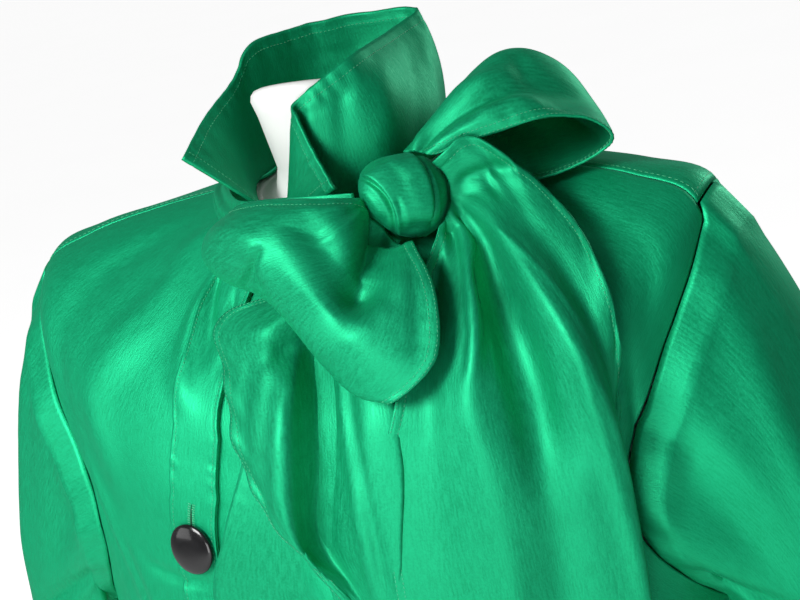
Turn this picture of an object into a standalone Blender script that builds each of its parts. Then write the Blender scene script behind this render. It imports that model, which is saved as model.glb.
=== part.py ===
"""An oversized satin shirt with a popped collar and a big scarf bow, on a limbless display torso.

The wearer's front faces -Y, the wearer's left is +X and up is +Z. Sizes are in metres, and
angles round the body are in degrees: 0 at the wearer's left side, -90 at the centre front,
90 at the centre back and 180 (or -180) at the right side.
"""

import math

import bpy
import numpy as np
from mathutils import Vector
from mathutils.bvhtree import BVHTree

# Cloth and gaps
CLOTH = 0.0015  # wall of one panel of satin
COLLAR_WALL = 0.0022  # two layers of satin and a soft interlining
SCARF_WALL = 0.0016  # the scarf, with its hems
SEAM = 0.0011  # air between two panels that are sewn together
SLEEVE_GAP = 0.0015  # air from the armhole's edge to the sleeve's first ring
LAP_LIFT = 0.0028  # how far the right front is lifted where it laps over the left
PLACKET_WALL = 0.0012
PLACKET_LIFT = 0.0021
PLACKET_WIDTH = 0.037

# Colours, as in the photograph
EMERALD = (0.010, 0.300, 0.130, 1.0)
WHITE = (0.86, 0.87, 0.86, 1.0)
BLACK = (0.008, 0.008, 0.009, 1.0)
METAL = (0.72, 0.72, 0.73, 1.0)

# The shirt's body is one surface round the torso, worked out from these rings, neck to hem.
BODY_RINGS = (
    # name, half width, front depth, back depth, centre y, z front, z side, z back, squareness
    ("neck seam", 0.066, 0.063, 0.057, 0.005, 0.875, 0.896, 0.917, 2.0),
    ("collarbone", 0.104, 0.090, 0.076, 0.005, 0.842, 0.891, 0.903, 2.0),
    ("upper shoulder", 0.152, 0.118, 0.096, 0.003, 0.802, 0.886, 0.882, 2.0),
    ("mid shoulder", 0.204, 0.138, 0.111, 0.000, 0.768, 0.878, 0.852, 2.1),
    ("yoke seam", 0.246, 0.147, 0.120, 0.000, 0.738, 0.861, 0.815, 2.1),
    ("armhole top", 0.246, 0.152, 0.124, 0.000, 0.712, 0.800, 0.760, 2.2),
    ("armhole middle", 0.242, 0.155, 0.127, 0.000, 0.680, 0.730, 0.705, 2.2),
    ("armhole low", 0.239, 0.156, 0.128, 0.000, 0.640, 0.660, 0.650, 2.2),
    ("underarm", 0.237, 0.155, 0.128, 0.000, 0.590, 0.592, 0.590, 2.2),
    ("under bust", 0.236, 0.154, 0.129, 0.000, 0.515, 0.515, 0.515, 2.2),
    ("waist", 0.237, 0.154, 0.131, 0.000, 0.420, 0.420, 0.420, 2.1),
    ("hip", 0.242, 0.158, 0.136, 0.000, 0.280, 0.285, 0.280, 2.1),
    ("hem", 0.248, 0.164, 0.142, 0.000, 0.130, 0.160, 0.118, 2.1),
)
YOKE_ROW = 4.0
UNDERARM_ROW = 8.0
HEM_ROW = 12.0
YOKE_FORWARD = 9.0  # degrees that the yoke comes forward over the shoulder tip
YOKE_AT_NECK = 2.5
DRAPE_WAVES = 9  # soft folds round the hem
DRAPE_DEPTH = 0.007

# The opening wanders to the wearer's right as the shirt hangs on the torso
OPENING = (
    # ring, angle of the right front's free edge
    (0.0, -104.5),
    (1.0, -110.0),
    (1.7, -109.5),
    (2.4, -106.0),
    (3.4, -102.5),
    (4.7, -102.0),
    (6.0, -104.0),
    (9.0, -103.5),
    (12.0, -101.0),
)
ARMHOLE_FRONT = 38.0  # how far the armhole cuts into the front and the back, in degrees
ARMHOLE_BACK = 30.0

# The display torso. Its shoulders carry the shirt, so they follow the shirt's own surface.
NECK_RADIUS = 0.046
NECK_TOP = (0.0, -0.012, 0.957)
NECK_FOOT = (0.0, 0.010, 0.885)
NECK_TOP_TILT = math.radians(14)  # the cut leans back
SHOULDER_UNDER = 0.0020  # the torso's skin below the middle of the cloth
TORSO_RINGS = (
    ("shoulder cap", 0.190, 0.124, 0.098, 0.002, 0.762, 0.864, 0.842, 2.1),
    ("chest", 0.188, 0.128, 0.100, 0.002, 0.705, 0.760, 0.740, 2.1),
    ("bust", 0.172, 0.130, 0.100, 0.000, 0.655, 0.665, 0.665, 2.1),
    ("under bust", 0.152, 0.112, 0.096, 0.000, 0.585, 0.585, 0.585, 2.0),
    ("waist", 0.130, 0.094, 0.088, 0.000, 0.490, 0.490, 0.490, 2.0),
    ("hip", 0.166, 0.114, 0.112, 0.000, 0.340, 0.340, 0.340, 2.0),
    ("bottom", 0.158, 0.108, 0.106, 0.000, 0.245, 0.245, 0.245, 2.0),
)
BASE_RADIUS = 0.150
BASE_THICKNESS = 0.012
BASE_BEVEL = 0.003
POLE_RADIUS = 0.0125


def curve(table, at):
    """A smooth curve through the rows of a table: a Catmull-Rom spline, one row a unit apart."""
    table = np.asarray(table, float)
    padded = np.concatenate([[2 * table[0] - table[1]], table, [2 * table[-1] - table[-2]]])
    at = np.clip(np.asarray(at, float), 0, len(table) - 1)
    first = np.minimum(at.astype(int), len(table) - 2)
    t = (at - first).reshape(at.shape + (1,) * (table.ndim - 1))
    a, b, c, d = (padded[first + k] for k in range(4))
    return 0.5 * (2 * b + (c - a) * t + (2 * a - 5 * b + 4 * c - d) * t**2
                  + (3 * b - a - 3 * c + d) * t**3)


def smoothstep(x):
    x = np.clip(x, 0, 1)
    return x * x * (3 - 2 * x)


def rounded(ring, angle):
    """Points of rings (the last axis holds a ring's sizes) at these angles: a squared ellipse."""
    half, front, back, centre, z_front, z_side, z_back, square = np.moveaxis(ring, -1, 0)
    c, s = np.cos(np.radians(angle)), np.sin(np.radians(angle))
    x = half * np.sign(c) * np.abs(c) ** (2 / square)
    depth = np.where(s < 0, front, back)
    y = centre + depth * np.sign(s) * np.abs(s) ** (2 / square)
    end = np.where(s < 0, z_front, z_back)
    z = z_side + (end - z_side) * np.abs(s) ** 1.6
    return np.stack([x, y, z], -1)


def ring_sizes(rings):
    return np.array([row[1:] for row in rings])


def body(angle, ring, lift=0.0):
    """The shirt's surface: a point at an angle round the body and a ring down it, lifted off it."""
    angle, ring = np.broadcast_arrays(np.asarray(angle, float), np.asarray(ring, float))
    point = rounded(curve(ring_sizes(BODY_RINGS), ring), angle)
    drop = smoothstep((ring - YOKE_ROW) / (HEM_ROW - YOKE_ROW))
    wave = DRAPE_DEPTH * drop * np.cos(np.radians(DRAPE_WAVES * angle + 40 * np.sin(np.radians(2 * angle))))
    out = np.stack([np.cos(np.radians(angle)), np.sin(np.radians(angle)), 0 * angle], -1)
    point = point + out * wave[..., None]
    if np.any(lift):
        point = point + body_normal(angle, ring) * np.asarray(lift)[..., None]
    return point


def body_normal(angle, ring):
    """Outward normal, from small steps along the surface."""
    step = 0.25
    across = body(angle + step, ring) - body(angle - step, ring)
    ring = np.clip(ring, 0.05, HEM_ROW - 0.05)
    down = body(angle, ring + 0.04) - body(angle, ring - 0.04)
    normal = np.cross(down, across)
    return normal / np.linalg.norm(normal, axis=-1, keepdims=True)


def opening(ring):
    rows = np.array(OPENING)
    return np.interp(ring, rows[:, 0], rows[:, 1])


def armhole(ring, reach):
    """Degrees that the armhole cuts in from the side at a ring: none past its two ends."""
    along = np.clip((ring - YOKE_ROW) / (UNDERARM_ROW - YOKE_ROW), 0, 1)
    return reach * np.abs(np.sin(np.pi * along**1.15)) ** 0.6


def yoke_edge(ring):
    """Degrees in front of the shoulder line at which the yoke is sewn to a front."""
    down = np.clip(ring, 0, YOKE_ROW) / YOKE_ROW
    return YOKE_AT_NECK + (YOKE_FORWARD - YOKE_AT_NECK) * down**2


def front_limit(ring):
    """Angle at which a front ends: the yoke seam, then the armhole, then the side seam."""
    cut = np.maximum(armhole(ring, ARMHOLE_FRONT), YOKE_FORWARD * (ring < YOKE_ROW + 0.3))
    return np.where(ring <= YOKE_ROW, yoke_edge(ring), cut)


def back_limit(ring):
    return armhole(ring, ARMHOLE_BACK)


# The collar stands up all round, and both its front corners are turned outward.
COLLAR_STATIONS = (
    # name, seam angle, seam out, edge x, edge y, edge z, bulge (millimetres)
    ("right point", -113, 1, -73, -78, 931, 0),
    ("right leaf", -133, 0, -73, -40, 950, 3),
    ("right leaf, high", -163, 0, -66, -6, 967, 3),
    ("right back fold", -198, 0, -59, 13, 986, 2),
    ("back, right", -232, 0, -42, 42, 989, 4),
    ("back", -270, 0, -8, 63, 990, 5),
    ("left back fold", -318, 0, 40, 69, 987, 8),
    ("left side", -350, 0, 38, 26, 979, 12),
    ("left leaf", -388, 0, 43, -37, 976, 12),
    ("left leaf, low", -420, 0, 29, -55, 967, 8),
    ("left front", -445, 0, 17, -61, 960, 4),
    ("crease, inside", -459, 1, 11, -64, 956, 1),
    ("crease", -463, 4, 9, -68, 952, 0),
    ("crease, outside", -463, 7, 14, -73, 946, 0),
    ("flap", -461, 10, 22, -78, 928, 1),
    ("left point", -458, 12, 38, -89, 902, 0),
)
COLLAR_RISE = 0.0025  # the collar's foot above the neck seam
COLLAR_ROWS = 7
COLLAR_STEPS = 37

# The scarf goes round the outside of the collar, from the knot across the front, round the
# wearer's right side and the back, and in behind the knot
NECK_BAND = (
    # name, upper edge x, y, z, lower edge out, lower edge down (millimetres)
    ("at the knot", 49, -87, 898, 1, 20),
    ("front", 4, -88, 900, 4, 24),
    ("right front", -42, -71, 898, 8, 22),
    ("right", -78, -20, 901, 13, 7),
    ("right shoulder", -82, 16, 903, 12, 7),
    ("right back", -62, 64, 915, 11, 10),
    ("back", 0, 86, 924, 8, 24),
    ("left back", 60, 66, 916, 10, 12),
    ("left", 83, 14, 906, 12, 8),
    ("left front", 88, -22, 903, 8, 9),
    ("behind the knot", 76, -46, 888, 2, 12),
)

# The bow faces the wearer's left front and is tied off centre. Its tables are in millimetres,
# across (to the right as it faces you), up and out from the middle of the knot.
KNOT = Vector((0.078, -0.077, 0.890))
BOW_TURN, BOW_LEAN, BOW_TILT = (math.radians(a) for a in (28, 14, 12))
KNOT_HALF = (0.0275, 0.0265, 0.0235)  # across, up, out
KNOT_SQUARE = 2.5
KNOT_WRAPS = (
    # a groove between two turns: where it crosses the knot, slope, depth, width
    (-0.60, 0.30, 0.0028, 0.10),
    (0.10, 0.45, 0.0020, 0.08),
    (0.62, 0.35, 0.0026, 0.10),
)

# Loops: one row a rail from the front edge to the back one, each with six stops
LOOP_SHOULDER = (
    # out of the knot, top layer, crown, turn, under layer, into the knot: each (across, up, out)
    ((13, 22, 6), (58, 39, 16), (104, 46, 15), (125, 33, 10), (84, 12, 0), (23, 9, -2)),
    ((8, 25, 3), (50, 64, 5), (102, 60, -6), (127, 37, -12), (84, 17, -11), (23, 10, -5)),
    ((1, 26, -1), (54, 86, -12), (98, 83, -26), (124, 44, -36), (84, 27, -29), (21, 12, -8)),
    ((0, 27, -6), (54, 85, -32), (94, 81, -50), (115, 52, -58), (82, 40, -44), (19, 14, -11)),
    ((3, 27, -11), (48, 66, -50), (86, 70, -68), (100, 56, -78), (76, 50, -58), (16, 16, -13)),
)
LOOP_FRONT = (
    ((-22, -2, 9), (-50, -3, 17), (-86, -3, 2), (-104, -7, -26), (-62, -12, -8), (-22, -7, 1)),
    ((-22, -7, 13), (-50, -12, 28), (-98, -17, 12), (-126, -28, -36), (-66, -24, -6), (-20, -11, 2)),
    ((-19, -13, 16), (-46, -24, 36), (-92, -33, 22), (-117, -48, -26), (-62, -36, 0), (-17, -16, 3)),
    ((-14, -19, 18), (-38, -36, 38), (-72, -48, 32), (-88, -60, -2), (-50, -46, 6), (-13, -21, 4)),
    ((-9, -24, 19), (-24, -46, 38), (-48, -68, 42), (-63, -83, 12), (-34, -60, 18), (-9, -25, 6)),
    ((-4, -28, 20), (-8, -56, 42), (-24, -90, 50), (-36, -112, 30), (-16, -74, 31), (-4, -29, 9)),
    ((2, -29, 21), (8, -62, 46), (11, -104, 56), (-8, -126, 48), (4, -84, 40), (1, -30, 14)),
)
LOOP_TURN = 3  # the stop at which a rail turns round
LOOP_STEPS = 26
LOOP_ROWS = 9
LOOP_OPEN = 0.004  # how far each layer of a loop stands off its middle

# Tails: one row a section, one column a rail, each (across, up, lift off the shirt)
TAIL_SIDE = (
    # left hem, valley, pleat, dark valley, ridge, behind the ridge, right hem
    ((21, -19, 33), (26, -15, 33), (29, -9, 35), (30, -4, 35), (30, 1, 37), (28, 9, 40), (18, 22, 45)),
    ((16, -33, 28), (27, -31, 26), (37, -25, 34), (43, -18, 30), (48, -9, 38), (50, 8, 42), (38, 35, 52)),
    ((8, -55, 22), (22, -54, 18), (39, -47, 32), (52, -42, 19), (62, -34, 35), (70, -14, 32), (68, 19, 47)),
    ((1, -88, 17), (18, -88, 12), (38, -85, 26), (60, -82, 11), (84, -70, 30), (95, -52, 17), (101, -17, 24)),
    ((-6, -126, 18), (16, -126, 12), (38, -126, 22), (72, -126, 10), (108, -112, 27), (114, -96, 15), (121, -68, 17)),
    ((-12, -165, 16), (18, -166, 12), (48, -168, 19), (84, -168, 13), (126, -156, 22), (122, -138, 12), (124, -118, 9)),
    ((-5, -243, 16), (30, -244, 12), (66, -246, 19), (100, -246, 13), (144, -240, 19), (134, -226, 9), (120, -205, 6)),
    ((27, -400, 20), (62, -405, 12), (98, -410, 22), (134, -412, 13), (176, -412, 20), (164, -400, 10), (148, -385, 6)),
)
TAIL_SIDE_FLOOR = -0.030  # near the knot the tail lifts from no deeper than this, out of the bow
TAIL_FRONT = (
    # upper hem, upper middle, valley, ridge, fold, under middle, under hem
    ((-20, -20, 24), (-16, -23, 22), (-12, -26, 24), (-8, -28, 22), (-3, -30, 20), (-8, -27, 14), (-14, -23, 12)),
    ((-70, -54, 20), (-54, -56, 20), (-40, -58, 17), (-28, -58, 19), (-16, -56, 15), (-32, -54, 9), (-50, -50, 8)),
    ((-118, -77, 13), (-88, -84, 20), (-54, -90, 13), (-38, -90, 18), (-24, -88, 12), (-54, -84, 6), (-84, -78, 6)),
    ((-110, -112, 14), (-84, -118, 20), (-54, -122, 12), (-38, -124, 18), (-26, -124, 11), (-58, -122, 5), (-92, -118, 6)),
    ((-100, -163, 16), (-78, -164, 20), (-55, -164, 12), (-36, -165, 18), (-18, -166, 11), (-56, -166, 5), (-101, -164, 8)),
    ((-66, -215, 15), (-56, -214, 18), (-45, -213, 13), (-30, -212, 17), (-14, -212, 11), (-58, -213, 6), (-114, -212, 14)),
    ((-22, -266, 13), (-18, -265, 15), (-14, -264, 16), (-9, -262, 15), (-3, -260, 11), (-50, -264, 6), (-121, -262, 13)),
    ((14, -366, 13), (17, -366, 15), (20, -366, 15), (23, -366, 15), (27, -366, 11), (-26, -360, 6), (-92, -348, 9)),
)
TAIL_FRONT_FLOOR = -0.120
KNOT_GAP = 0.0010  # from the knot's surface to the middle of the cloth that leaves it
LOOP_FRONT_LIFT = 0.020  # least lift of the front loop off the shirt, over both tails
TAIL_ROWS = 20
TAIL_COLUMNS = 13

# Sleeves hang empty: each section runs from its outer line to its inner line
SLEEVE_SECTIONS = (
    # name, outer x, outer z, inner x, inner z, half depth front, half depth back, armhole's share
    ("cap", 0.263, 0.838, 0.243, 0.592, 0.084, 0.070, 0.75),
    ("upper arm", 0.288, 0.780, 0.250, 0.572, 0.074, 0.062, 0.40),
    ("above elbow", 0.316, 0.690, 0.257, 0.535, 0.062, 0.053, 0.12),
    ("elbow", 0.341, 0.575, 0.263, 0.480, 0.050, 0.046, 0.0),
    ("forearm", 0.357, 0.450, 0.267, 0.405, 0.042, 0.040, 0.0),
    ("wrist", 0.366, 0.345, 0.270, 0.335, 0.035, 0.034, 0.0),
    ("cuff seam", 0.368, 0.300, 0.272, 0.298, 0.030, 0.030, 0.0),
)
CUFF_LENGTH = 0.058
CUFF_GAP = 0.0009
CUFF_WALL = 0.002
SLEEVE_DRAPE = 0.004

BUTTON_RADIUS = 0.0172
BUTTON_HEIGHT = 0.0058
BUTTON_RINGS = (0.6, 5.78, 8.9, 10.3, 11.35)  # down the front, on the shirt's rings
BUTTON_SEAT = 0.0004
CUFF_BUTTON_SCALE = 0.6


def bow_axes():
    """Across, up and out for the bow, as unit vectors."""
    level = np.array([math.cos(BOW_TURN), math.sin(BOW_TURN), 0.0])
    out = np.array([math.sin(BOW_TURN) * math.cos(BOW_LEAN),
                    -math.cos(BOW_TURN) * math.cos(BOW_LEAN), math.sin(BOW_LEAN)])
    upright = np.cross(out, level)
    c, s = math.cos(BOW_TILT), math.sin(BOW_TILT)
    return level * c - upright * s, upright * c + level * s, out


ACROSS, UP, OUT = bow_axes()


def bow_point(across, up, out):
    """A point of the bow from its distances in metres from the knot."""
    across, up, out = (np.asarray(v, float)[..., None] for v in (across, up, out))
    return np.array(KNOT) + ACROSS * across + UP * up + OUT * out


def body_tree():
    """The shirt's body as a tree of faces that rays can meet."""
    angle = np.linspace(-180, 180, 145)
    ring = np.linspace(0, HEM_ROW, 97)
    points = body(angle[None, :], ring[:, None])
    rows, columns = points.shape[:2]
    faces = grid_faces(rows, columns)
    return BVHTree.FromPolygons([tuple(p) for p in points.reshape(-1, 3)], faces)


def shirt_depth(tree, across, up):
    """How far out the shirt is, in the bow's own view, behind each point across and up."""
    start = bow_point(across, up, 0.5 + 0 * across)
    depth = np.full(across.shape, -1.0)
    for k in np.ndindex(across.shape):
        hit = tree.ray_cast(Vector(start[k]), Vector(-OUT))[0]
        if hit is not None:
            depth[k] = (np.array(hit) - np.array(KNOT)) @ OUT
    return depth


def grid_faces(rows, columns, closed=False):
    """Four-cornered faces of a grid of points; closed joins its last column to its first."""
    last = columns if closed else columns - 1
    return [(r * columns + c, r * columns + (c + 1) % columns,
             (r + 1) * columns + (c + 1) % columns, (r + 1) * columns + c)
            for r in range(rows - 1) for c in range(last)]


def trimmed(points, sides, gap=SEAM / 2):
    """The grid with its named sides (top, bottom, left, right) moved in by a seam's half gap."""
    points = points.copy()
    pairs = {"top": (0, 1, 0), "bottom": (-1, -2, 0), "left": (0, 1, 1), "right": (-1, -2, 1)}
    for side in sides:
        edge, inner, axis = pairs[side]
        rim, near = np.take(points, edge, axis), np.take(points, inner, axis)
        step = near - rim
        length = np.maximum(np.linalg.norm(step, axis=-1, keepdims=True), 1e-6)
        moved = rim + step / length * np.minimum(gap, 0.4 * length)
        if axis == 0:
            points[edge] = moved
        else:
            points[:, edge] = moved
    return points


def start_scene():
    for obj in list(bpy.data.objects):
        bpy.data.objects.remove(obj, do_unlink=True)
    shirt = bpy.data.collections.new("Oversized shirt")
    bpy.context.scene.collection.children.link(shirt)
    return shirt


def material(name, colour, roughness, metallic=0.0):
    made = bpy.data.materials.new(name)
    made.use_nodes = True
    shader = made.node_tree.nodes["Principled BSDF"]
    shader.inputs["Base Color"].default_value = colour
    shader.inputs["Roughness"].default_value = roughness
    shader.inputs["Metallic"].default_value = metallic
    made.diffuse_color = colour
    return made


def add_mesh(name, vertices, faces, finish, collection):
    mesh = bpy.data.meshes.new(name)
    mesh.from_pydata([tuple(v) for v in np.asarray(vertices, float)], [], faces)
    mesh.validate()
    mesh.materials.append(finish)
    mesh.shade_smooth()
    obj = bpy.data.objects.new(name, mesh)
    collection.objects.link(obj)
    return obj


def shell(name, points, wall, finish, collection, closed=False):
    """A cloth piece: a grid of points as an open surface, with half its wall on each side."""
    rows, columns = points.shape[:2]
    obj = add_mesh(name, points.reshape(-1, 3), grid_faces(rows, columns, closed), finish, collection)
    flat = obj.modifiers.new("Facets", "TRIANGULATE")
    flat.quad_method = "FIXED"
    thick = obj.modifiers.new("Wall", "SOLIDIFY")
    thick.thickness = wall
    thick.offset = 0.0
    return obj


def closed_loft(name, rings, finish, collection):
    """A solid through rings of equal count, with a fan of faces over each end."""
    rows, columns = rings.shape[:2]
    faces = grid_faces(rows, columns, closed=True)
    vertices = np.vstack([rings.reshape(-1, 3), rings[0].mean(0), rings[-1].mean(0)])
    first, last = rows * columns, rows * columns + 1
    base = (rows - 1) * columns
    for c in range(columns):
        faces.append((first, (c + 1) % columns, c))
        faces.append((last, base + c, base + (c + 1) % columns))
    return add_mesh(name, vertices, faces, finish, collection)


# Rows of the body's grid: closer where the armhole turns
YOKE_GRID = np.array([0, 0.5, 1, 1.5, 2, 2.7, 3.4, 4.0])
ARMHOLE_GRID = np.array([4.12, 4.4, 4.9, 5.4, 5.9, 6.4, 6.9, 7.4, 7.75, 7.93])
SIDE_GRID = np.array([8.0, 8.5, 9, 9.75, 10.5, 11.25, 12])
FRONT_GRID = np.concatenate([YOKE_GRID, ARMHOLE_GRID, SIDE_GRID])[:, None]
FRONT_COLUMNS = 12
BACK_COLUMNS = 19


def front_grid(start, end, lift):
    """A front: columns between two angles on every ring, each lifted off the body."""
    share = np.linspace(0, 1, FRONT_COLUMNS)[None, :]
    angle = start + (end - start) * share
    return body(angle, FRONT_GRID, lift(angle))


def lap_angle(ring):
    """Degrees that the placket covers at the front of a ring."""
    return np.degrees(PLACKET_WIDTH / curve(ring_sizes(BODY_RINGS), ring)[..., 0])


def lap_lift(angle, ring=None):
    """The right front rises over two placket widths, then laps over the left front."""
    ring = FRONT_GRID if ring is None else ring
    return LAP_LIFT * smoothstep(1.5 - (opening(ring) - angle) / (2 * lap_angle(ring)))


def make_fronts(shirt, satin):
    edge = opening(FRONT_GRID)
    right = front_grid(-180 + front_limit(FRONT_GRID), edge, lap_lift)
    left = front_grid(edge - lap_angle(FRONT_GRID), -front_limit(FRONT_GRID), np.zeros_like)
    shell("front_right", trimmed(right, ("left", "top")), CLOTH, satin, shirt)
    shell("front_left", trimmed(left, ("right", "top")), CLOTH, satin, shirt)


def make_placket(shirt, satin):
    ring = FRONT_GRID[1:]
    angle = opening(ring) - lap_angle(ring) * np.linspace(1, 0, 4)[None, :]
    lift = lap_lift(angle, ring) + PLACKET_LIFT
    shell("placket", body(angle, ring, lift), PLACKET_WALL, satin, shirt)


def make_back(shirt, satin):
    ring = np.concatenate([[YOKE_ROW], ARMHOLE_GRID, SIDE_GRID])[:, None]
    share = np.linspace(0, 1, BACK_COLUMNS)[None, :]
    limit = back_limit(ring)
    points = body(limit + (180 - 2 * limit) * share, ring)
    shell("back", trimmed(points, ("top", "left", "right")), CLOTH, satin, shirt)


def make_yoke(shirt, satin):
    ring = YOKE_GRID[:, None]
    middle = np.broadcast_to(np.linspace(0, 180, BACK_COLUMNS), (len(ring), BACK_COLUMNS))
    angle = np.hstack([-yoke_edge(ring), middle, 180 + yoke_edge(ring)])
    points = body(angle, ring)
    shell("yoke", trimmed(points, ("top", "bottom", "left", "right")), CLOTH, satin, shirt)


def armhole_ring(side):
    """The armhole's edge, from the shoulder tip down the front, under the arm and up the back."""
    rows = ARMHOLE_GRID
    top = np.array([0.0, -YOKE_FORWARD / 2, -YOKE_FORWARD])
    ring = np.concatenate([[YOKE_ROW] * 3, rows, [UNDERARM_ROW], rows[::-1]])
    angle = np.concatenate([top, -front_limit(rows), [0.0], back_limit(rows[::-1])])
    points = body(angle if side > 0 else 180 - angle, ring)
    under = len(top) + len(rows)
    step = np.linalg.norm(np.diff(np.vstack([points, points[:1]]), axis=0), axis=1)
    along = np.concatenate([[0.0], np.cumsum(step)])
    front = along[:under + 1] / along[under] * np.pi
    back = np.pi + (along[under + 1:-1] - along[under]) / (along[-1] - along[under]) * np.pi
    return points, np.concatenate([front, back])


def sleeve_section(section, turn, side):
    """A flattened tube's ring between its outer and its inner line."""
    outer_x, outer_z, inner_x, inner_z, front, back = section[:6]
    c, s = np.cos(turn), np.sin(turn)
    x = (outer_x + inner_x) / 2 + (outer_x - inner_x) / 2 * c
    z = (outer_z + inner_z) / 2 + (outer_z - inner_z) / 2 * c
    y = -np.where(s > 0, front, back) * s
    return np.stack([side * x, y, z], -1)


def make_sleeve(shirt, satin, side, name):
    edge, turn = armhole_ring(side)
    table = np.array([row[1:] for row in SLEEVE_SECTIONS])
    first = edge + np.array([side * SLEEVE_GAP, 0, 0])
    top, under = edge[0], edge[len(edge) // 2 + 1]
    oval = sleeve_section((side * top[0], top[2], side * under[0], under[2], 0.080, 0.066), turn, side)
    away = first - oval
    count = 11
    rings = [first]
    for k in np.linspace(0, len(table) - 1, count):
        section = curve(table, np.array(k))
        ring = sleeve_section(section, turn, side) + away * section[6]
        fold = SLEEVE_DRAPE * np.sin(3 * turn + 1.1 * k + side) * smoothstep(np.array(k / 2))
        ring[:, 1] += fold * np.abs(np.sin(turn))
        rings.append(ring)
    shell(name, np.array(rings), CLOTH, satin, shirt, closed=True)
    return rings[-1]


def make_cuff(shirt, satin, seam, name):
    """A short tube under the sleeve's last ring. Returns where its button sits, and facing where."""
    middle = seam.mean(0)
    drops = np.array([CUFF_GAP, CUFF_LENGTH / 2, CUFF_LENGTH])[:, None, None]
    taper = np.array([0.985, 0.975, 0.965])[:, None, None]
    rings = middle + (seam - middle) * taper + np.array([0, 0, -1]) * drops
    shell(name, rings, CUFF_WALL, satin, shirt, closed=True)
    faces = grid_faces(len(drops), len(seam), closed=True)
    tube = BVHTree.FromPolygons([tuple(p) for p in rings.reshape(-1, 3)], faces)
    return tube.ray_cast(Vector((middle[0], -1, middle[2] - CUFF_LENGTH / 2)), Vector((0, 1, 0)))[:2]


def make_collar(shirt, satin):
    table = np.array([row[1:] for row in COLLAR_STATIONS])
    steps = curve(table, np.linspace(0, len(table) - 1, COLLAR_STEPS))
    angle, out, edge, bulge = steps[:, 0], steps[:, 1] / 1000, steps[:, 2:5] / 1000, steps[:, 5] / 1000
    outward = np.stack([np.cos(np.radians(angle)), np.sin(np.radians(angle)), 0 * angle], -1)
    foot = body(angle, 0.0) + outward * out[:, None] + np.array([0, 0, COLLAR_RISE])
    v = np.linspace(0, 1, COLLAR_ROWS)[:, None, None]
    points = foot * (1 - v) + edge * v + outward * (bulge[:, None] * 4 * v * (1 - v))
    shell("collar", points, COLLAR_WALL, satin, shirt)


def make_neck_band(shirt, satin):
    table = np.array([row[1:] for row in NECK_BAND]) / 1000
    path = curve(table, np.linspace(0, len(table) - 1, 37))
    top = path[:, :3]
    outward = (top - np.array([0, body(90, 0)[1] / 6, 0])) * np.array([1, 1, 0])
    outward = outward / np.linalg.norm(outward, axis=-1, keepdims=True)
    v = np.linspace(0, 1, 4)[:, None, None]
    points = top + outward * path[:, 3:4] * np.sin(v * np.pi / 2) - np.array([0, 0, 1]) * path[:, 4:5] * v
    shell("scarf_neck_band", points[::-1], SCARF_WALL, satin, shirt)


def knot_radius(across, up, out, extra=0.0):
    """How far a direction from the knot's middle reaches its surface."""
    halves = np.array(KNOT_HALF) + extra
    level = sum((np.abs(d) / h) ** KNOT_SQUARE for d, h in zip((across, up, out), halves))
    return level ** (-1 / KNOT_SQUARE)


def seated(points):
    """Points of a loop or a tail, in the bow's own axes, moved straight out to just clear the knot."""
    reach = knot_radius(*np.moveaxis(points, -1, 0), KNOT_GAP)
    return points * np.maximum(1.0, reach)[..., None]


def make_knot(shirt, satin):
    """A rounded block, with a groove where each turn of the scarf laps the next."""
    turn = np.linspace(0, 2 * np.pi, 24, endpoint=False)[None, :]
    lean = np.linspace(-0.96, 0.96, 13)[:, None] * np.pi / 2
    across, up, out = np.sin(lean) + 0 * turn, np.cos(lean) * np.sin(turn), np.cos(lean) * np.cos(turn)
    reach = knot_radius(across, up, out)
    for place, slope, depth, width in KNOT_WRAPS:
        miss = (across - place - slope * up) / width
        reach = reach - depth * np.exp(-miss**2) * np.cos(lean)
    points = bow_point(across * reach, up * reach, out * reach)
    closed_loft("scarf_knot", points[:, ::-1], satin, shirt)


def loop_grid(rows):
    """Each rail leaves the knot, turns round and comes back, so the loop is open like an eye."""
    rails = np.array(rows, float) / 1000
    stops = np.swapaxes(curve(rails, np.linspace(0, len(rails) - 1, LOOP_ROWS)), 0, 1)
    at = np.linspace(0, len(stops) - 1, LOOP_STEPS)
    points = np.swapaxes(curve(stops, at), 0, 1)
    back = (at - LOOP_TURN) / (len(stops) - 1 - LOOP_TURN)
    swing = np.where(at < LOOP_TURN, np.sin(np.pi * at / LOOP_TURN), -np.sin(np.pi * back))
    points[..., 2] += LOOP_OPEN * np.sign(swing) * np.sqrt(np.abs(swing))
    return seated(points)


def make_loops(shirt, satin, tree):
    shoulder = bow_point(*np.moveaxis(loop_grid(LOOP_SHOULDER), -1, 0))
    shell("loop_left_shoulder", raised(tree, shoulder, 0.0030), SCARF_WALL, satin, shirt)
    grid = loop_grid(LOOP_FRONT)
    across, up, out = np.moveaxis(grid, -1, 0)
    out = np.maximum(out, shirt_depth(tree, across, up) + LOOP_FRONT_LIFT)
    shell("loop_front", bow_point(across, up, out), SCARF_WALL, satin, shirt)


def raised(tree, points, least):
    """Points kept a least height above the shirt's shoulder."""
    flat = points.reshape(-1, 3).copy()
    for k, point in enumerate(flat):
        hit = tree.ray_cast(Vector((point[0], point[1], 2.0)), Vector((0, 0, -1)))[0]
        if hit is not None:
            flat[k, 2] = max(point[2], hit[2] + least)
    return flat.reshape(points.shape)


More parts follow.
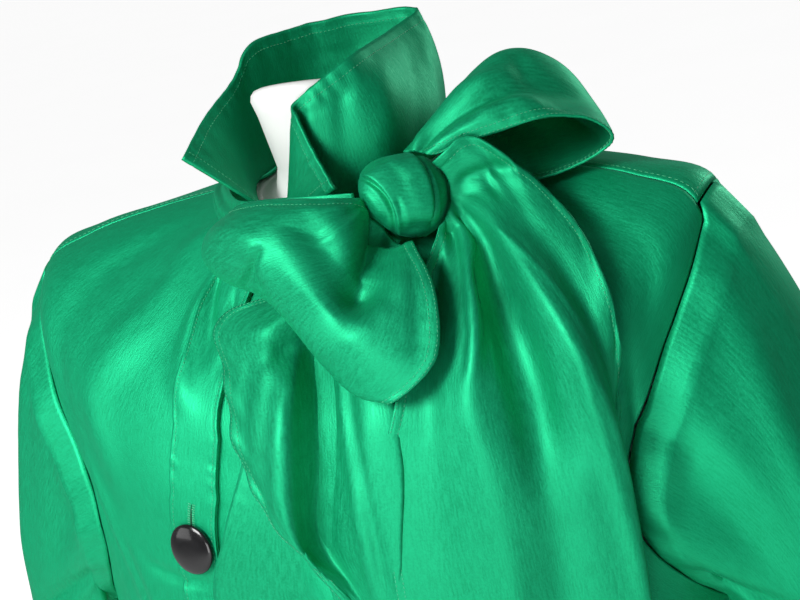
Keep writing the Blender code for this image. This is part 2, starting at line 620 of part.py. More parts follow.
def make_tail(shirt, satin, tree, table, floor, name):
    table = np.array(table, float) / 1000
    down = curve(table, np.linspace(0, len(table) - 1, TAIL_ROWS))
    grid = curve(np.swapaxes(down, 0, 1), np.linspace(0, table.shape[1] - 1, TAIL_COLUMNS))
    across, up, lift = np.moveaxis(grid, -1, 0)
    out = np.maximum(shirt_depth(tree, across, up), floor) + lift
    points = seated(np.stack([across, up, out], -1))
    points[:, 0] *= knot_radius(*points[:, 0].T, KNOT_GAP)[:, None]
    shell(name, bow_point(*np.moveaxis(points, -1, 0)), SCARF_WALL, satin, shirt)


def button_mesh(name, radius, height, black, shirt):
    """A domed button: its profile, top to rim to back, turned round its axis."""
    arc = np.radians(np.array([90, 58, 30, 0]))
    profile = [(radius * math.cos(a), 0, height * (0.35 + 0.65 * math.sin(a))) for a in arc]
    profile[0] = (0, 0, height)
    profile += [(radius * 0.97, 0, height * 0.12), (radius * 0.90, 0, 0), (0, 0, 0)]
    obj = add_mesh(name, profile, [], black, shirt)
    obj.data.edges.add(len(profile) - 1)
    for k in range(len(profile) - 1):
        obj.data.edges[k].vertices = (k, k + 1)
    turned = obj.modifiers.new("Turned", "SCREW")
    turned.steps = turned.render_steps = 16
    turned.use_merge_vertices = True
    turned.merge_threshold = 0.00005
    return obj


def seat_button(obj, point, normal, lift):
    """Stands a button's back at a point of the cloth, facing out."""
    obj.location = Vector(point) + Vector(normal) * lift
    obj.rotation_mode = "QUATERNION"
    obj.rotation_quaternion = Vector(normal).to_track_quat("Z", "Y")


def placket_height(angle, ring, point, normal):
    """How far the placket rises above a point of the shirt, anywhere under a button."""
    angle = angle + np.linspace(-6, 6, 13)[None, :]
    ring = ring + np.linspace(-0.5, 0.5, 13)[:, None]
    offset = body(angle, ring, lap_lift(angle, ring) + PLACKET_LIFT) - point
    height = offset @ normal
    flat = np.linalg.norm(offset - height[..., None] * normal, axis=-1)
    return height[flat < BUTTON_RADIUS].max() + PLACKET_WALL / 2


def make_buttons(shirt, black, cuff_seats):
    for k, ring in enumerate(BUTTON_RINGS):
        angle = opening(ring) - lap_angle(ring) / 2
        point = body(angle, ring)
        normal = body_normal(angle, ring)
        obj = button_mesh(f"button_{k + 1}", BUTTON_RADIUS, BUTTON_HEIGHT, black, shirt)
        seat_button(obj, point, normal, placket_height(angle, ring, point, normal) + BUTTON_SEAT)
    for side, (point, normal) in cuff_seats.items():
        obj = button_mesh(f"cuff_button_{side}", BUTTON_RADIUS * CUFF_BUTTON_SCALE,
                          BUTTON_HEIGHT * CUFF_BUTTON_SCALE, black, shirt)
        facing = normal if normal.y < 0 else -normal
        seat_button(obj, point, facing, CUFF_WALL / 2 + BUTTON_SEAT)


def torso_rings(columns):
    """Rings of the display torso: its cut neck, the shoulders under the shirt, then the bust to the hips."""
    angle = np.linspace(0, 360, columns, endpoint=False)
    c, s = np.cos(np.radians(angle)), np.sin(np.radians(angle))
    top, foot = np.array(NECK_TOP), np.array(NECK_FOOT)
    rings = []
    for inset, down in ((0.62, 0.0), (0.86, 0.0008), (0.96, 0.0035), (1.0, 0.008)):
        flat = np.stack([NECK_RADIUS * inset * c, NECK_RADIUS * inset * s, 0 * c], -1)
        tilted = flat.copy()
        tilted[:, 2] = -flat[:, 1] * math.tan(NECK_TOP_TILT)
        rings.append(top + tilted - np.array([0, 0, down]))
    for share in (0.40, 0.72):
        centre = top + (foot - top) * share
        rings.append(centre + np.stack([NECK_RADIUS * c, NECK_RADIUS * 1.02 * s,
                                        -NECK_RADIUS * s * math.tan(NECK_TOP_TILT) * (1 - share)], -1))
    base = rounded(curve(ring_sizes(BODY_RINGS), np.array(0.0)), angle)
    rings.append(np.stack([base[:, 0] * 0.80, base[:, 1] * 0.80 + 0.003, base[:, 2] - 0.001], -1))
    for ring in (0.15, 0.5, 1.0, 1.5, 2.0, 2.4):
        rings.append(body(angle, ring, -SHOULDER_UNDER - 0.002 * max(0.0, ring - 2.0)))
    cap = ring_sizes(TORSO_RINGS)
    for k in np.linspace(0, len(cap) - 1, 10):
        rings.append(rounded(curve(cap, np.array(k)), angle))
    return np.array(rings)


def make_torso(shirt, white):
    closed_loft("display_torso", torso_rings(32)[:, ::-1], white, shirt)


def make_stand(shirt, metal):
    bottom = TORSO_RINGS[-1][6]
    bpy.ops.mesh.primitive_cylinder_add(vertices=40, radius=BASE_RADIUS, depth=BASE_THICKNESS,
                                        location=(0, 0, BASE_THICKNESS / 2))
    base = bpy.context.active_object
    bpy.ops.mesh.primitive_cylinder_add(vertices=20, radius=POLE_RADIUS,
                                        depth=bottom - BASE_THICKNESS - 2 * 0.0004,
                                        location=(0, 0, (bottom + BASE_THICKNESS) / 2))
    pole = bpy.context.active_object
    for obj, name in ((base, "stand_base"), (pole, "stand_pole")):
        obj.name = obj.data.name = name
        obj.data.materials.append(metal)
        for holder in list(obj.users_collection):
            holder.objects.unlink(obj)
        shirt.objects.link(obj)
    bevel = base.modifiers.new("Edge", "BEVEL")
    bevel.width = BASE_BEVEL
    bevel.segments = 1
    bevel.limit_method = "ANGLE"


def main():
    shirt = start_scene()
    satin = material("Emerald satin", EMERALD, 0.38, 0.1)
    white = material("White form", WHITE, 0.45)
    black = material("Black button", BLACK, 0.12)
    metal = material("Brushed steel", METAL, 0.3, 1.0)
    tree = body_tree()
    make_stand(shirt, metal)
    make_torso(shirt, white)
    make_fronts(shirt, satin)
    make_placket(shirt, satin)
    make_back(shirt, satin)
    make_yoke(shirt, satin)
    cuffs = {}
    for side, name in ((1, "left"), (-1, "right")):
        seam = make_sleeve(shirt, satin, side, f"sleeve_{name}")
        cuffs[name] = make_cuff(shirt, satin, seam, f"cuff_{name}")
    make_collar(shirt, satin)
    make_neck_band(shirt, satin)
    make_knot(shirt, satin)
    make_loops(shirt, satin, tree)
    make_tail(shirt, satin, tree, TAIL_SIDE, TAIL_SIDE_FLOOR, "tail_left_side")
    make_tail(shirt, satin, tree, TAIL_FRONT, TAIL_FRONT_FLOOR, "tail_front")
    make_buttons(shirt, black, cuffs)


main()
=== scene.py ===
"""An oversized emerald satin shirt with a popped collar and a big scarf bow, dressed on a white
display torso that stands on a pole and a round base. Metres, +Z up, the wearer's front faces -Y."""

import math

import bpy
import numpy as np
from mathutils import Matrix, Vector
from mathutils.bvhtree import BVHTree


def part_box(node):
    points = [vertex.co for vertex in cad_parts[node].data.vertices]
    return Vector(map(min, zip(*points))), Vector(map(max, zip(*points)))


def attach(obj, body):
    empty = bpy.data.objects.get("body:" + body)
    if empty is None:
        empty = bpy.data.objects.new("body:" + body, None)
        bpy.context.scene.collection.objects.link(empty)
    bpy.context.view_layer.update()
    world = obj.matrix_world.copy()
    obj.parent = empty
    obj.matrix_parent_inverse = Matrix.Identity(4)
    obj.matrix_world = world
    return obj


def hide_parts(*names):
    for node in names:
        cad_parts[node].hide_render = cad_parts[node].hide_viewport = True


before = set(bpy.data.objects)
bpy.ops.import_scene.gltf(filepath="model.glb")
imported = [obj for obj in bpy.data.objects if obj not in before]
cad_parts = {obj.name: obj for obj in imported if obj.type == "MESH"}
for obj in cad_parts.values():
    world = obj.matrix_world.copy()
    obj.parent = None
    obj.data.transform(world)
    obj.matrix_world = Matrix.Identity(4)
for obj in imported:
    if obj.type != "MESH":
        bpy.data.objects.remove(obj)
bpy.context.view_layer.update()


# ---------------------------------------------------------------------------------------------
# The display torso: a limbless form moulded in white glass fibre, with a cut neck whose top
# leans back. Its shoulders carry the shirt, so both are worked out from one surface here.

SHIRT_RINGS = np.array([
    # half width, front depth, back depth, centre y, z front, z side, z back, squareness
    (0.066, 0.063, 0.057, 0.005, 0.875, 0.896, 0.917, 2.0),  # neck seam
    (0.104, 0.090, 0.076, 0.005, 0.842, 0.891, 0.903, 2.0),  # collarbone
    (0.152, 0.118, 0.096, 0.003, 0.802, 0.886, 0.882, 2.0),  # upper shoulder
    (0.204, 0.138, 0.111, 0.000, 0.768, 0.878, 0.852, 2.1),  # mid shoulder
    (0.246, 0.147, 0.120, 0.000, 0.738, 0.861, 0.815, 2.1),  # yoke seam
    (0.246, 0.152, 0.124, 0.000, 0.712, 0.800, 0.760, 2.2),  # armhole top
    (0.242, 0.155, 0.127, 0.000, 0.680, 0.730, 0.705, 2.2),  # armhole middle
    (0.239, 0.156, 0.128, 0.000, 0.640, 0.660, 0.650, 2.2),  # armhole low
    (0.237, 0.155, 0.128, 0.000, 0.590, 0.592, 0.590, 2.2),  # underarm
    (0.236, 0.154, 0.129, 0.000, 0.515, 0.515, 0.515, 2.2),  # under bust
    (0.237, 0.154, 0.131, 0.000, 0.420, 0.420, 0.420, 2.1),  # waist
    (0.242, 0.158, 0.136, 0.000, 0.280, 0.285, 0.280, 2.1),  # hip
    (0.248, 0.164, 0.142, 0.000, 0.130, 0.160, 0.118, 2.1),  # hem
])
YOKE_ROW, UNDERARM_ROW, HEM_ROW = 4.0, 8.0, 12.0
DRAPE_WAVES, DRAPE_DEPTH = 9, 0.007
TORSO_RINGS = np.array([
    (0.190, 0.124, 0.098, 0.002, 0.762, 0.864, 0.842, 2.1),  # shoulder cap
    (0.188, 0.128, 0.100, 0.002, 0.705, 0.760, 0.740, 2.1),  # chest
    (0.172, 0.130, 0.100, 0.000, 0.655, 0.665, 0.665, 2.1),  # bust
    (0.152, 0.112, 0.096, 0.000, 0.585, 0.585, 0.585, 2.0),  # under bust
    (0.130, 0.094, 0.088, 0.000, 0.490, 0.490, 0.490, 2.0),  # waist
    (0.166, 0.114, 0.112, 0.000, 0.340, 0.340, 0.340, 2.0),  # hip
    (0.158, 0.108, 0.106, 0.000, 0.245, 0.245, 0.245, 2.0),  # bottom
])
NECK_TOP, NECK_FOOT = np.array([0, -0.012, 0.957]), np.array([0, 0.010, 0.885])
NECK_RADIUS, NECK_LEAN = 0.046, math.tan(math.radians(14))
NECK_EDGE = ((0.02, 0.0), (0.5, 0.0), (0.86, 0.0008), (0.93, 0.0020), (0.98, 0.0048), (1.0, 0.0085))  # share, drop
NECK_SHARES = (0.25, 0.40, 0.58, 0.72)  # down the neck, from its cut to its foot
SHOULDER_ROWS = (0.15, 0.5, 1.0, 1.5, 2.0, 2.4)  # on the shirt's rings
SHOULDER_UNDER = 0.0024  # the shoulders' skin below the middle of the cloth
BOTTOM_EDGE = ((0.97, 0.004), (0.90, 0.006), (0.5, 0.006), (0.02, 0.006))  # share, drop


def through(table, at):
    """A Catmull-Rom curve through a table's rows, one row a unit apart, at any array of places."""
    table = np.asarray(table, float)
    rows = np.concatenate([[2 * table[0] - table[1]], table, [2 * table[-1] - table[-2]]])
    at = np.clip(np.asarray(at, float), 0, len(table) - 1)
    first = np.minimum(at.astype(int), len(table) - 2)
    t = (at - first).reshape(at.shape + (1,) * (table.ndim - 1))
    a, b, c, d = (rows[first + k] for k in range(4))
    return 0.5 * (2 * b + (c - a) * t + (2 * a - 5 * b + 4 * c - d) * t**2
                  + (3 * b - a - 3 * c + d) * t**3)


def ease(x):
    """0 to 1 with a soft start and end: 3x^2 - 2x^3."""
    x = np.clip(x, 0, 1)
    return x * x * (3 - 2 * x)


def unit(vectors):
    """The vectors at a length of one."""
    return vectors / np.maximum(np.linalg.norm(vectors, axis=-1, keepdims=True), 1e-9)


def squared_ring(sizes, angle):
    """A squared ellipse: x = a cos^(2/n), y = b sin^(2/n), its height eased from side to front and back."""
    half, front, back, centre, z_front, z_side, z_back, square = np.moveaxis(sizes, -1, 0)
    c, s = np.cos(np.radians(angle)), np.sin(np.radians(angle))
    x = half * np.sign(c) * np.abs(c) ** (2 / square)
    y = centre + np.where(s < 0, front, back) * np.sign(s) * np.abs(s) ** (2 / square)
    z = z_side + (np.where(s < 0, z_front, z_back) - z_side) * np.abs(s) ** 1.6
    return np.stack([x, y, z], -1)


def shirt_at(angle, ring, lift=0.0):
    """The shirt's surface: the ring's squared ellipse, a cosine drape that grows to the hem, and
    a lift along the normal."""
    angle, ring = np.broadcast_arrays(np.asarray(angle, float), np.asarray(ring, float))
    point = squared_ring(through(SHIRT_RINGS, ring), angle)
    drop = ease((ring - YOKE_ROW) / (HEM_ROW - YOKE_ROW))
    wave = DRAPE_DEPTH * drop * np.cos(np.radians(DRAPE_WAVES * angle + 40 * np.sin(np.radians(2 * angle))))
    out = np.stack([np.cos(np.radians(angle)), np.sin(np.radians(angle)), 0 * angle], -1)
    point = point + out * wave[..., None]
    if np.any(lift):
        point = point + shirt_normal(angle, ring) * np.asarray(lift)[..., None]
    return point


def shirt_normal(angle, ring):
    """The surface's outward normal: the cross product of small steps down it and round it."""
    across = shirt_at(angle + 0.25, ring) - shirt_at(angle - 0.25, ring)
    ring = np.clip(ring, 0.05, HEM_ROW - 0.05)
    return unit(np.cross(shirt_at(angle, ring + 0.04) - shirt_at(angle, ring - 0.04), across))


def cloth_uv(points, tube):
    """Metres along the cloth: the mean running length of the columns and of the rows."""
    wide = np.concatenate([points, points[:, :1]], 1) if tube else points
    across = np.linalg.norm(np.diff(wide, axis=1), axis=-1).mean(0)
    down = np.linalg.norm(np.diff(points, axis=0), axis=-1).mean(1)
    return np.append(0, np.cumsum(across)), np.append(0, np.cumsum(down))


def new_object(name, points, faces, finish):
    """A mesh in the scene, with its finish."""
    mesh = bpy.data.meshes.new(name)
    mesh.from_pydata(points, [], faces)
    mesh.materials.append(finish)
    made = bpy.data.objects.new(name, mesh)
    bpy.context.scene.collection.objects.link(made)
    return made


def dress(name, points, finish, node, wall=0.0, tube=False, ends=False):
    """Makes a piece from a grid of points (rows, columns): four-cornered faces, a UV map in metres,
    and a wall where it is cloth. A tube joins its last column to its first, and ends closes it."""
    rows, columns = points.shape[:2]
    along, down = cloth_uv(points, tube)
    r, c = np.meshgrid(np.arange(rows - 1), np.arange(len(along) - 1), indexing="ij")
    row = np.stack([r, r, r + 1, r + 1], -1).reshape(-1, 4)
    column = np.stack([c, c + 1, c + 1, c], -1).reshape(-1, 4)
    faces = (row * columns + column % columns).tolist()
    corners = np.stack([along[column], down[row]], -1).reshape(-1, 2)
    if ends:
        faces += [list(range(columns))[::-1], list(range((rows - 1) * columns, rows * columns))]
        corners = np.vstack([corners, points[0, ::-1, :2], points[-1, :, :2]])
    piece = new_object(name, points.reshape(-1, 3).tolist(), faces, finish)
    piece.data.uv_layers.new(name="Cloth").data.foreach_set("uv", corners.ravel())
    piece.data.shade_smooth()
    if wall:
        solid = piece.modifiers.new("Wall", "SOLIDIFY")
        solid.thickness, solid.offset = wall, 0.0
    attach(piece, "root")
    if node:
        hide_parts(node)
    return piece


def add_node(tree, kind, inputs=(), **settings):
    """A shader node with its settings, and its inputs set to a value or linked from a socket."""
    node = tree.nodes.new(kind)
    for key, value in settings.items():
        setattr(node, key, value)
    for key, value in dict(inputs).items():
        if isinstance(value, bpy.types.NodeSocket):
            tree.links.new(value, node.inputs[key])
        else:
            node.inputs[key].default_value = value
    return node


def new_finish(name, **constants):
    """A material with its Principled BSDF's plain numbers set on the shader's own sockets."""
    made = bpy.data.materials.new(name)
    made.use_nodes = True
    shader = made.node_tree.nodes["Principled BSDF"]
    for key, value in constants.items():
        shader.inputs[key.replace("_", " ")].default_value = value
    return made, made.node_tree, shader


def blotch(tree, scale, detail=3.0, stretch=(1, 1, 1)):
    """Noise on Object coordinates: its factor socket."""
    place = add_node(tree, "ShaderNodeTexCoord")
    mapped = add_node(tree, "ShaderNodeMapping", {"Vector": place.outputs["Object"], "Scale": stretch})
    return add_node(tree, "ShaderNodeTexNoise", {"Vector": mapped.outputs[0], "Scale": scale,
                                                 "Detail": detail}).outputs["Fac"]


def spread(tree, factor, low, high):
    """A factor eased between two numbers."""
    return add_node(tree, "ShaderNodeMapRange", {"Value": factor, "From Min": 0.3, "From Max": 0.7,
                                                 "To Min": low, "To Max": high}).outputs[0]


def two_tone(tree, factor, dark, light):
    """A colour between dark and light."""
    ramp = add_node(tree, "ShaderNodeValToRGB", {"Fac": factor})
    ramp.color_ramp.elements[0].position, ramp.color_ramp.elements[1].position = 0.3, 0.7
    ramp.color_ramp.elements[0].color, ramp.color_ramp.elements[1].color = (*dark, 1), (*light, 1)
    return ramp.outputs["Color"]


def paint(tree, shader, factor, dark, light):
    """Links a colour between dark and light to the shader's base colour."""
    tree.links.new(two_tone(tree, factor, dark, light), shader.inputs["Base Color"])


def polish(tree, shader, factor, low, high):
    """Links a roughness between two numbers to the shader."""
    tree.links.new(spread(tree, factor, low, high), shader.inputs["Roughness"])


def roughen(tree, shader, height, distance, strength):
    """Links a bump of the height's noise to the shader's normal."""
    bump = add_node(tree, "ShaderNodeBump", {"Height": height, "Distance": distance, "Strength": strength})
    tree.links.new(bump.outputs["Normal"], shader.inputs["Normal"])


white, tree, shader = new_finish("White glass fibre", Roughness=0.42)
paint(tree, shader, blotch(tree, 7), (0.74, 0.75, 0.73), (0.82, 0.83, 0.81))
polish(tree, shader, blotch(tree, 60), 0.36, 0.50)
roughen(tree, shader, blotch(tree, 220, 2), 0.0002, 0.25)

turn = np.linspace(0, 360, 128, endpoint=False)
c, s = np.cos(np.radians(turn)), np.sin(np.radians(turn))
rings = []
for inset, down in NECK_EDGE:
    rings.append(NECK_TOP + np.stack([NECK_RADIUS * inset * c, NECK_RADIUS * inset * s,
                                      -NECK_RADIUS * inset * s * NECK_LEAN - down], -1))
for share in NECK_SHARES:
    rings.append(NECK_TOP + (NECK_FOOT - NECK_TOP) * share
                 + np.stack([NECK_RADIUS * c, NECK_RADIUS * 1.02 * s, -NECK_RADIUS * s * NECK_LEAN * (1 - share)], -1))
foot = squared_ring(through(SHIRT_RINGS, 0.0), turn)
rings.append(foot * (0.80, 0.80, 1) + (0, 0.003, -0.001))
for ring in SHOULDER_ROWS:
    rings.append(shirt_at(turn, ring, -SHOULDER_UNDER - 0.002 * max(0.0, ring - 2.0)))
for k in np.linspace(0, len(TORSO_RINGS) - 1, 40):
    rings.append(squared_ring(through(TORSO_RINGS, np.array(k)), turn))
for inset, down in BOTTOM_EDGE:
    rings.append(squared_ring(TORSO_RINGS[-1], turn) * (inset, inset, 1) - (0, 0, down - 0.006))
dress("torso_form", np.array(rings)[:, ::-1], white, "display_torso", tube=True, ends=True)


# ---------------------------------------------------------------------------------------------
# The stand: a brushed steel pole with rounded ends, and a heavy turned steel base with a soft
# edge. Each is one profile turned round the upright axis.

BASE_PROFILE = [  # radius, z
    (0.001, 0), (0.146, 0), (0.1485, 0.0006), (0.150, 0.0022), (0.150, 0.0095), (0.1488, 0.0113), (0.146, 0.012),
    (0.020, 0.012), (0.001, 0.012),
]
POLE_PROFILE = [
    (0.001, 0.2446), (0.0115, 0.2446), (0.0125, 0.2436), (0.0125, 0.0135), (0.0119, 0.0124), (0.001, 0.0124),
]
steel, tree, shader = new_finish("Brushed steel", Metallic=1.0, Anisotropic=0.5)
streaks = blotch(tree, 160, 3, (1, 1, 8))
paint(tree, shader, streaks, (0.60, 0.60, 0.61), (0.70, 0.70, 0.71))
polish(tree, shader, streaks, 0.22, 0.38)
roughen(tree, shader, streaks, 0.0001, 0.3)


def turned(profile, steps=96):
    """A profile of (radius, z) turned round the upright axis: x = r cos, y = r sin."""
    radius, height = np.array(profile).T[..., None]
    angle = np.linspace(0, 2 * np.pi, steps, endpoint=False)
    return np.stack([radius * np.cos(angle), radius * np.sin(angle), height + 0 * angle], -1)


dress("base_plate", turned(BASE_PROFILE)[:, ::-1][::-1], steel, "stand_base", tube=True, ends=True)
dress("pole_tube", turned(POLE_PROFILE)[:, ::-1], steel, "stand_pole", tube=True, ends=True)


# ---------------------------------------------------------------------------------------------
# The shirt's yoke, back and two fronts: fluid satin with a wall of one layer, hung from the
# shoulders in long soft folds. Panels share one relief, so folds run on across their seams.

OPENING = np.array([
    # ring, angle of the right front's free edge
    (0.0, -104.5), (1.0, -110.0), (1.7, -109.5), (2.4, -106.0), (3.4, -102.5),
    (4.7, -102.0), (6.0, -104.0), (9.0, -103.5), (12.0, -101.0),
])
CLOTH, SEAM = 0.0015, 0.0011
ARMHOLE_FRONT, ARMHOLE_BACK = 38.0, 30.0
YOKE_FORWARD, YOKE_AT_NECK = 9.0, 2.5
PLACKET_WIDTH, LAP_LIFT = 0.037, 0.0021
ROUND = 4.0  # millimetres round the body for each degree
SHIRT_FOLDS = np.array([
    # from angle, from z, to angle, to z, sideways bow, width, height (millimetres but for angles)
    (-128, 846, -110, 778, -4, 5.5, 3.6),  # the bright ridge at the right chest
    (-127, 852, -113, 806, 0, 5.0, -3.4),
    (-116, 838, -108, 800, 3, 4.0, -2.2),
    (-150, 874, -128, 800, 8, 11, 2.6),
    (-160, 872, -140, 770, 10, 12, -3.0),
    (-140, 842, -124, 720, 6, 13, 2.8),
    (-150, 760, -128, 610, 10, 12, -3.2),
    (-136, 740, -118, 560, 8, 14, 3.4),
    (-128, 690, -116, 470, 5, 10, -4.8),
    (-112, 660, -110, 420, 2, 9, 3.8),
    (-152, 600, -146, 330, -6, 14, 6.7),
    (-139, 560, -141, 250, 5, 11, -5.8),
    (-124, 520, -126, 180, -4, 13, 6.1),
    (-113, 430, -114, 160, 3, 10, -4.5),
    (-166, 620, -163, 260, 5, 12, -5.4),
    (-106, 668, -121, 676, 3, 3, -2.9),  # drag lines from the fastened buttons
    (-106, 650, -118, 640, -2, 2.6, 2.2),
    (-101, 560, -90, 570, 2, 3.2, -2.6),
    (-90, 700, -86, 480, 4, 12, 4.8),
    (-78, 680, -74, 430, -4, 13, -5.1),
    (-66, 720, -62, 500, 5, 12, 3.6),
    (-52, 690, -56, 380, -5, 14, 6.4),
    (-60, 560, -66, 240, 5, 12, -5.8),
    (-45, 560, -40, 250, 4, 13, -6.1),
    (-33, 600, -30, 300, -4, 12, 7),
    (-84, 420, -82, 160, 3, 12, 5.4),
    (-20, 560, -22, 220, 5, 12, -5.1),
    (-14, 884, -30, 806, -4, 8, -2.4),  # the left shoulder, below the loop
    (-22, 790, -26, 640, 3, 13, 4.0),
    (-34, 790, -38, 660, 2, 9, -2.2),
    (-37, 776, -36, 735, 1, 3.5, 2.0),
    (-36, 758, -33, 716, 2, 4, -2.2),
    (-36, 722, -31, 700, -2, 3.5, 1.8),
    (8, 570, 6, 260, 4, 12, 4.8),
    (22, 690, 30, 440, 5, 12, -5.4),
    (38, 720, 44, 380, -6, 15, 6.7),
    (55, 640, 52, 260, 5, 12, -6.1),
    (68, 760, 66, 480, -3, 14, 5.1),
    (74, 520, 76, 170, 4, 13, 6.4),
    (88, 700, 92, 330, 3, 12, -5.4),
    (100, 780, 104, 520, -4, 14, 5.8),
    (112, 600, 108, 220, 5, 14, 6.7),
    (124, 710, 130, 400, 5, 12, -5.8),
    (138, 660, 134, 280, -5, 14, 5.8),
    (152, 620, 156, 330, 4, 11, -4.8),
    (30, 868, 44, 830, 4, 9, -3.5),
    (56, 886, 58, 838, 2, 8, 3.2),
    (122, 886, 126, 836, -3, 9, -3.5),
    (146, 874, 138, 828, -4, 9, 3.5),
    (98, 906, 96, 852, 2, 8, -2.9),
])

SATIN = bpy.data.node_groups.new("Satin weave", "ShaderNodeTree")
for label, kind in (("Deep", "Color"), ("Lit", "Color"), ("Gloss", "Float"), ("Crinkle", "Float")):
    SATIN.interface.new_socket(label, in_out="INPUT", socket_type=f"NodeSocket{kind}")
for label, kind in (("Colour", "Color"), ("Roughness", "Float"), ("Normal", "Vector")):
    SATIN.interface.new_socket(label, in_out="OUTPUT", socket_type=f"NodeSocket{kind}")
given = SATIN.nodes.new("NodeGroupInput")
uv = add_node(SATIN, "ShaderNodeUVMap", uv_map="Cloth").outputs[0]
slubs = add_node(SATIN, "ShaderNodeTexNoise", {
    "Vector": add_node(SATIN, "ShaderNodeMapping", {"Vector": uv, "Scale": (900, 90, 1)}).outputs[0],
    "Scale": 1.0, "Detail": 2.0}).outputs["Fac"]
grain = add_node(SATIN, "ShaderNodeTexNoise", {
    "Vector": add_node(SATIN, "ShaderNodeMapping", {
        "Vector": uv, "Rotation": (0, 0, 0.6), "Scale": (900, 560, 1)}).outputs[0],
    "Scale": 1.0, "Detail": 3.0, "Roughness": 0.65}).outputs["Fac"]
tone = blotch(SATIN, 9, 3)
both = add_node(SATIN, "ShaderNodeMath", {0: slubs, 1: grain}, operation="ADD").outputs[0]
thread = add_node(SATIN, "ShaderNodeMapRange", {"Value": both, "From Min": 0.78, "From Max": 1.22}).outputs[0]
mixed = add_node(SATIN, "ShaderNodeMath", {0: thread, 1: 0.55, 2: -0.05}, operation="MULTIPLY_ADD").outputs[0]
mixed = add_node(SATIN, "ShaderNodeMath", {0: tone, 1: 0.55, 2: mixed}, operation="MULTIPLY_ADD").outputs[0]
colour = add_node(SATIN, "ShaderNodeMix", {0: mixed, 6: given.outputs["Deep"], 7: given.outputs["Lit"]},
                  data_type="RGBA").outputs[2]
rough = add_node(SATIN, "ShaderNodeMath", {0: thread, 1: 0.14, 2: given.outputs["Gloss"]},
                 operation="MULTIPLY_ADD").outputs[0]
soft = add_node(SATIN, "ShaderNodeBump", {"Height": blotch(SATIN, 42, 2), "Distance": 0.0016,
                                          "Strength": given.outputs["Crinkle"]})
weave = add_node(SATIN, "ShaderNodeBump", {"Height": thread, "Distance": 0.00014, "Strength": 0.50,
                                           "Normal": soft.outputs["Normal"]})
put_out = SATIN.nodes.new("NodeGroupOutput")
for label, socket in (("Colour", colour), ("Roughness", rough), ("Normal", weave.outputs["Normal"])):
    SATIN.links.new(socket, put_out.inputs[label])


def satin_finish(name, deep, lit, gloss, crinkle, sheen):
    """A satin: the weave group's colour, roughness and normal, with its sheen set on the shader."""
    made, tree, shader = new_finish(name, Metallic=0.55, Specular_IOR_Level=0.4, Sheen_Weight=sheen,
                                    Sheen_Roughness=0.4, Sheen_Tint=(0.1, 1.0, 0.65, 1.0),
                                    Specular_Tint=(0.5, 1.0, 0.85, 1.0))
    group = add_node(tree, "ShaderNodeGroup", node_tree=SATIN)
    for label, value in (("Deep", (*deep, 1)), ("Lit", (*lit, 1)), ("Gloss", gloss), ("Crinkle", crinkle)):
        group.inputs[label].default_value = value
    for label, socket in (("Colour", "Base Color"), ("Roughness", "Roughness"), ("Normal", "Normal")):
        tree.links.new(group.outputs[label], shader.inputs[socket])
    return made


shirt_satin = satin_finish("Shirt satin", (0.001, 0.310, 0.122), (0.008, 0.450, 0.205), 0.42, 0.10, 0.07)


def beside(dx, dy, lx, ly, bow):
    """For a line that bows sideways as 4t(1-t): the share t along it, and the distance to its left."""
    length = math.hypot(lx, ly)
    t = (dx * lx + dy * ly) / length**2
    return t, (dy * lx - dx * ly) / length - bow * 4 * t * (1 - t)


def folds(x, y, rows, wrap=None):
    """Height in metres of soft ridges and troughs. Each row is a line from (x0, y0) to (x1, y1) that
    bows sideways as 4t(1-t); across it the height falls as exp(-(distance/width)^2), and it eases
    in and out over its ends."""
    total = np.zeros(np.broadcast(x, y).shape)
    for x0, y0, x1, y1, bow, width, height in rows:
        dx, dy = x - x0, y - y0
        if wrap:
            dx = (dx + wrap / 2) % wrap - wrap / 2
        t, off = beside(dx, dy, x1 - x0, y1 - y0, bow)
        fade = ease((t + 0.12) / 0.3) * ease((1.15 - t) / 0.4)
        total = total + height / 1000 * np.exp(-(off / (width * (0.7 + 0.5 * np.clip(t, 0, 1)))) ** 2) * fade
    return total


def laps(x, y, rows):
    """Height of cloth that laps over cloth. Each row is an edge from (x0, y0) to (x1, y1) that bows
    sideways; to its left the upper layer stands up by height and sinks back over its width."""
    total = np.zeros(np.broadcast(x, y).shape)
    for x0, y0, x1, y1, bow, width, height in rows:
        t, off = beside(x - x0, y - y0, x1 - x0, y1 - y0, bow)
        step = ease(off / 1.3 + 0.5) * np.exp(-np.maximum(off, 0) / width)
        total = total + height / 1000 * step * ease((t + 0.05) / 0.2) * ease((1.1 - t) / 0.3)
    return total


def shirt_relief(angle, z):
    """The shirt's folds by angle and height, and a faint uneven ripple of sines."""
    rows = SHIRT_FOLDS * (ROUND, 1, ROUND, 1, 1, 1, 1)
    ripple = (np.sin(z * 41 + 3 * np.sin(np.radians(3 * angle))) * np.sin(np.radians(7 * angle) + z * 23)
              + 0.6 * np.sin(z * 67 + np.radians(11 * angle)))
    return folds(angle * ROUND, z * 1000, rows, 360 * ROUND) + 0.0005 * ripple


def opening(ring):
    """Angle of the right front's free edge, from straight steps between rings."""
    return np.interp(ring, OPENING[:, 0], OPENING[:, 1])


def armhole(ring, reach):
    """Degrees the armhole cuts in from the side: reach x |sin(pi share^1.15)|^0.6."""
    share = np.clip((ring - YOKE_ROW) / (UNDERARM_ROW - YOKE_ROW), 0, 1)
    return reach * np.abs(np.sin(np.pi * share**1.15)) ** 0.6


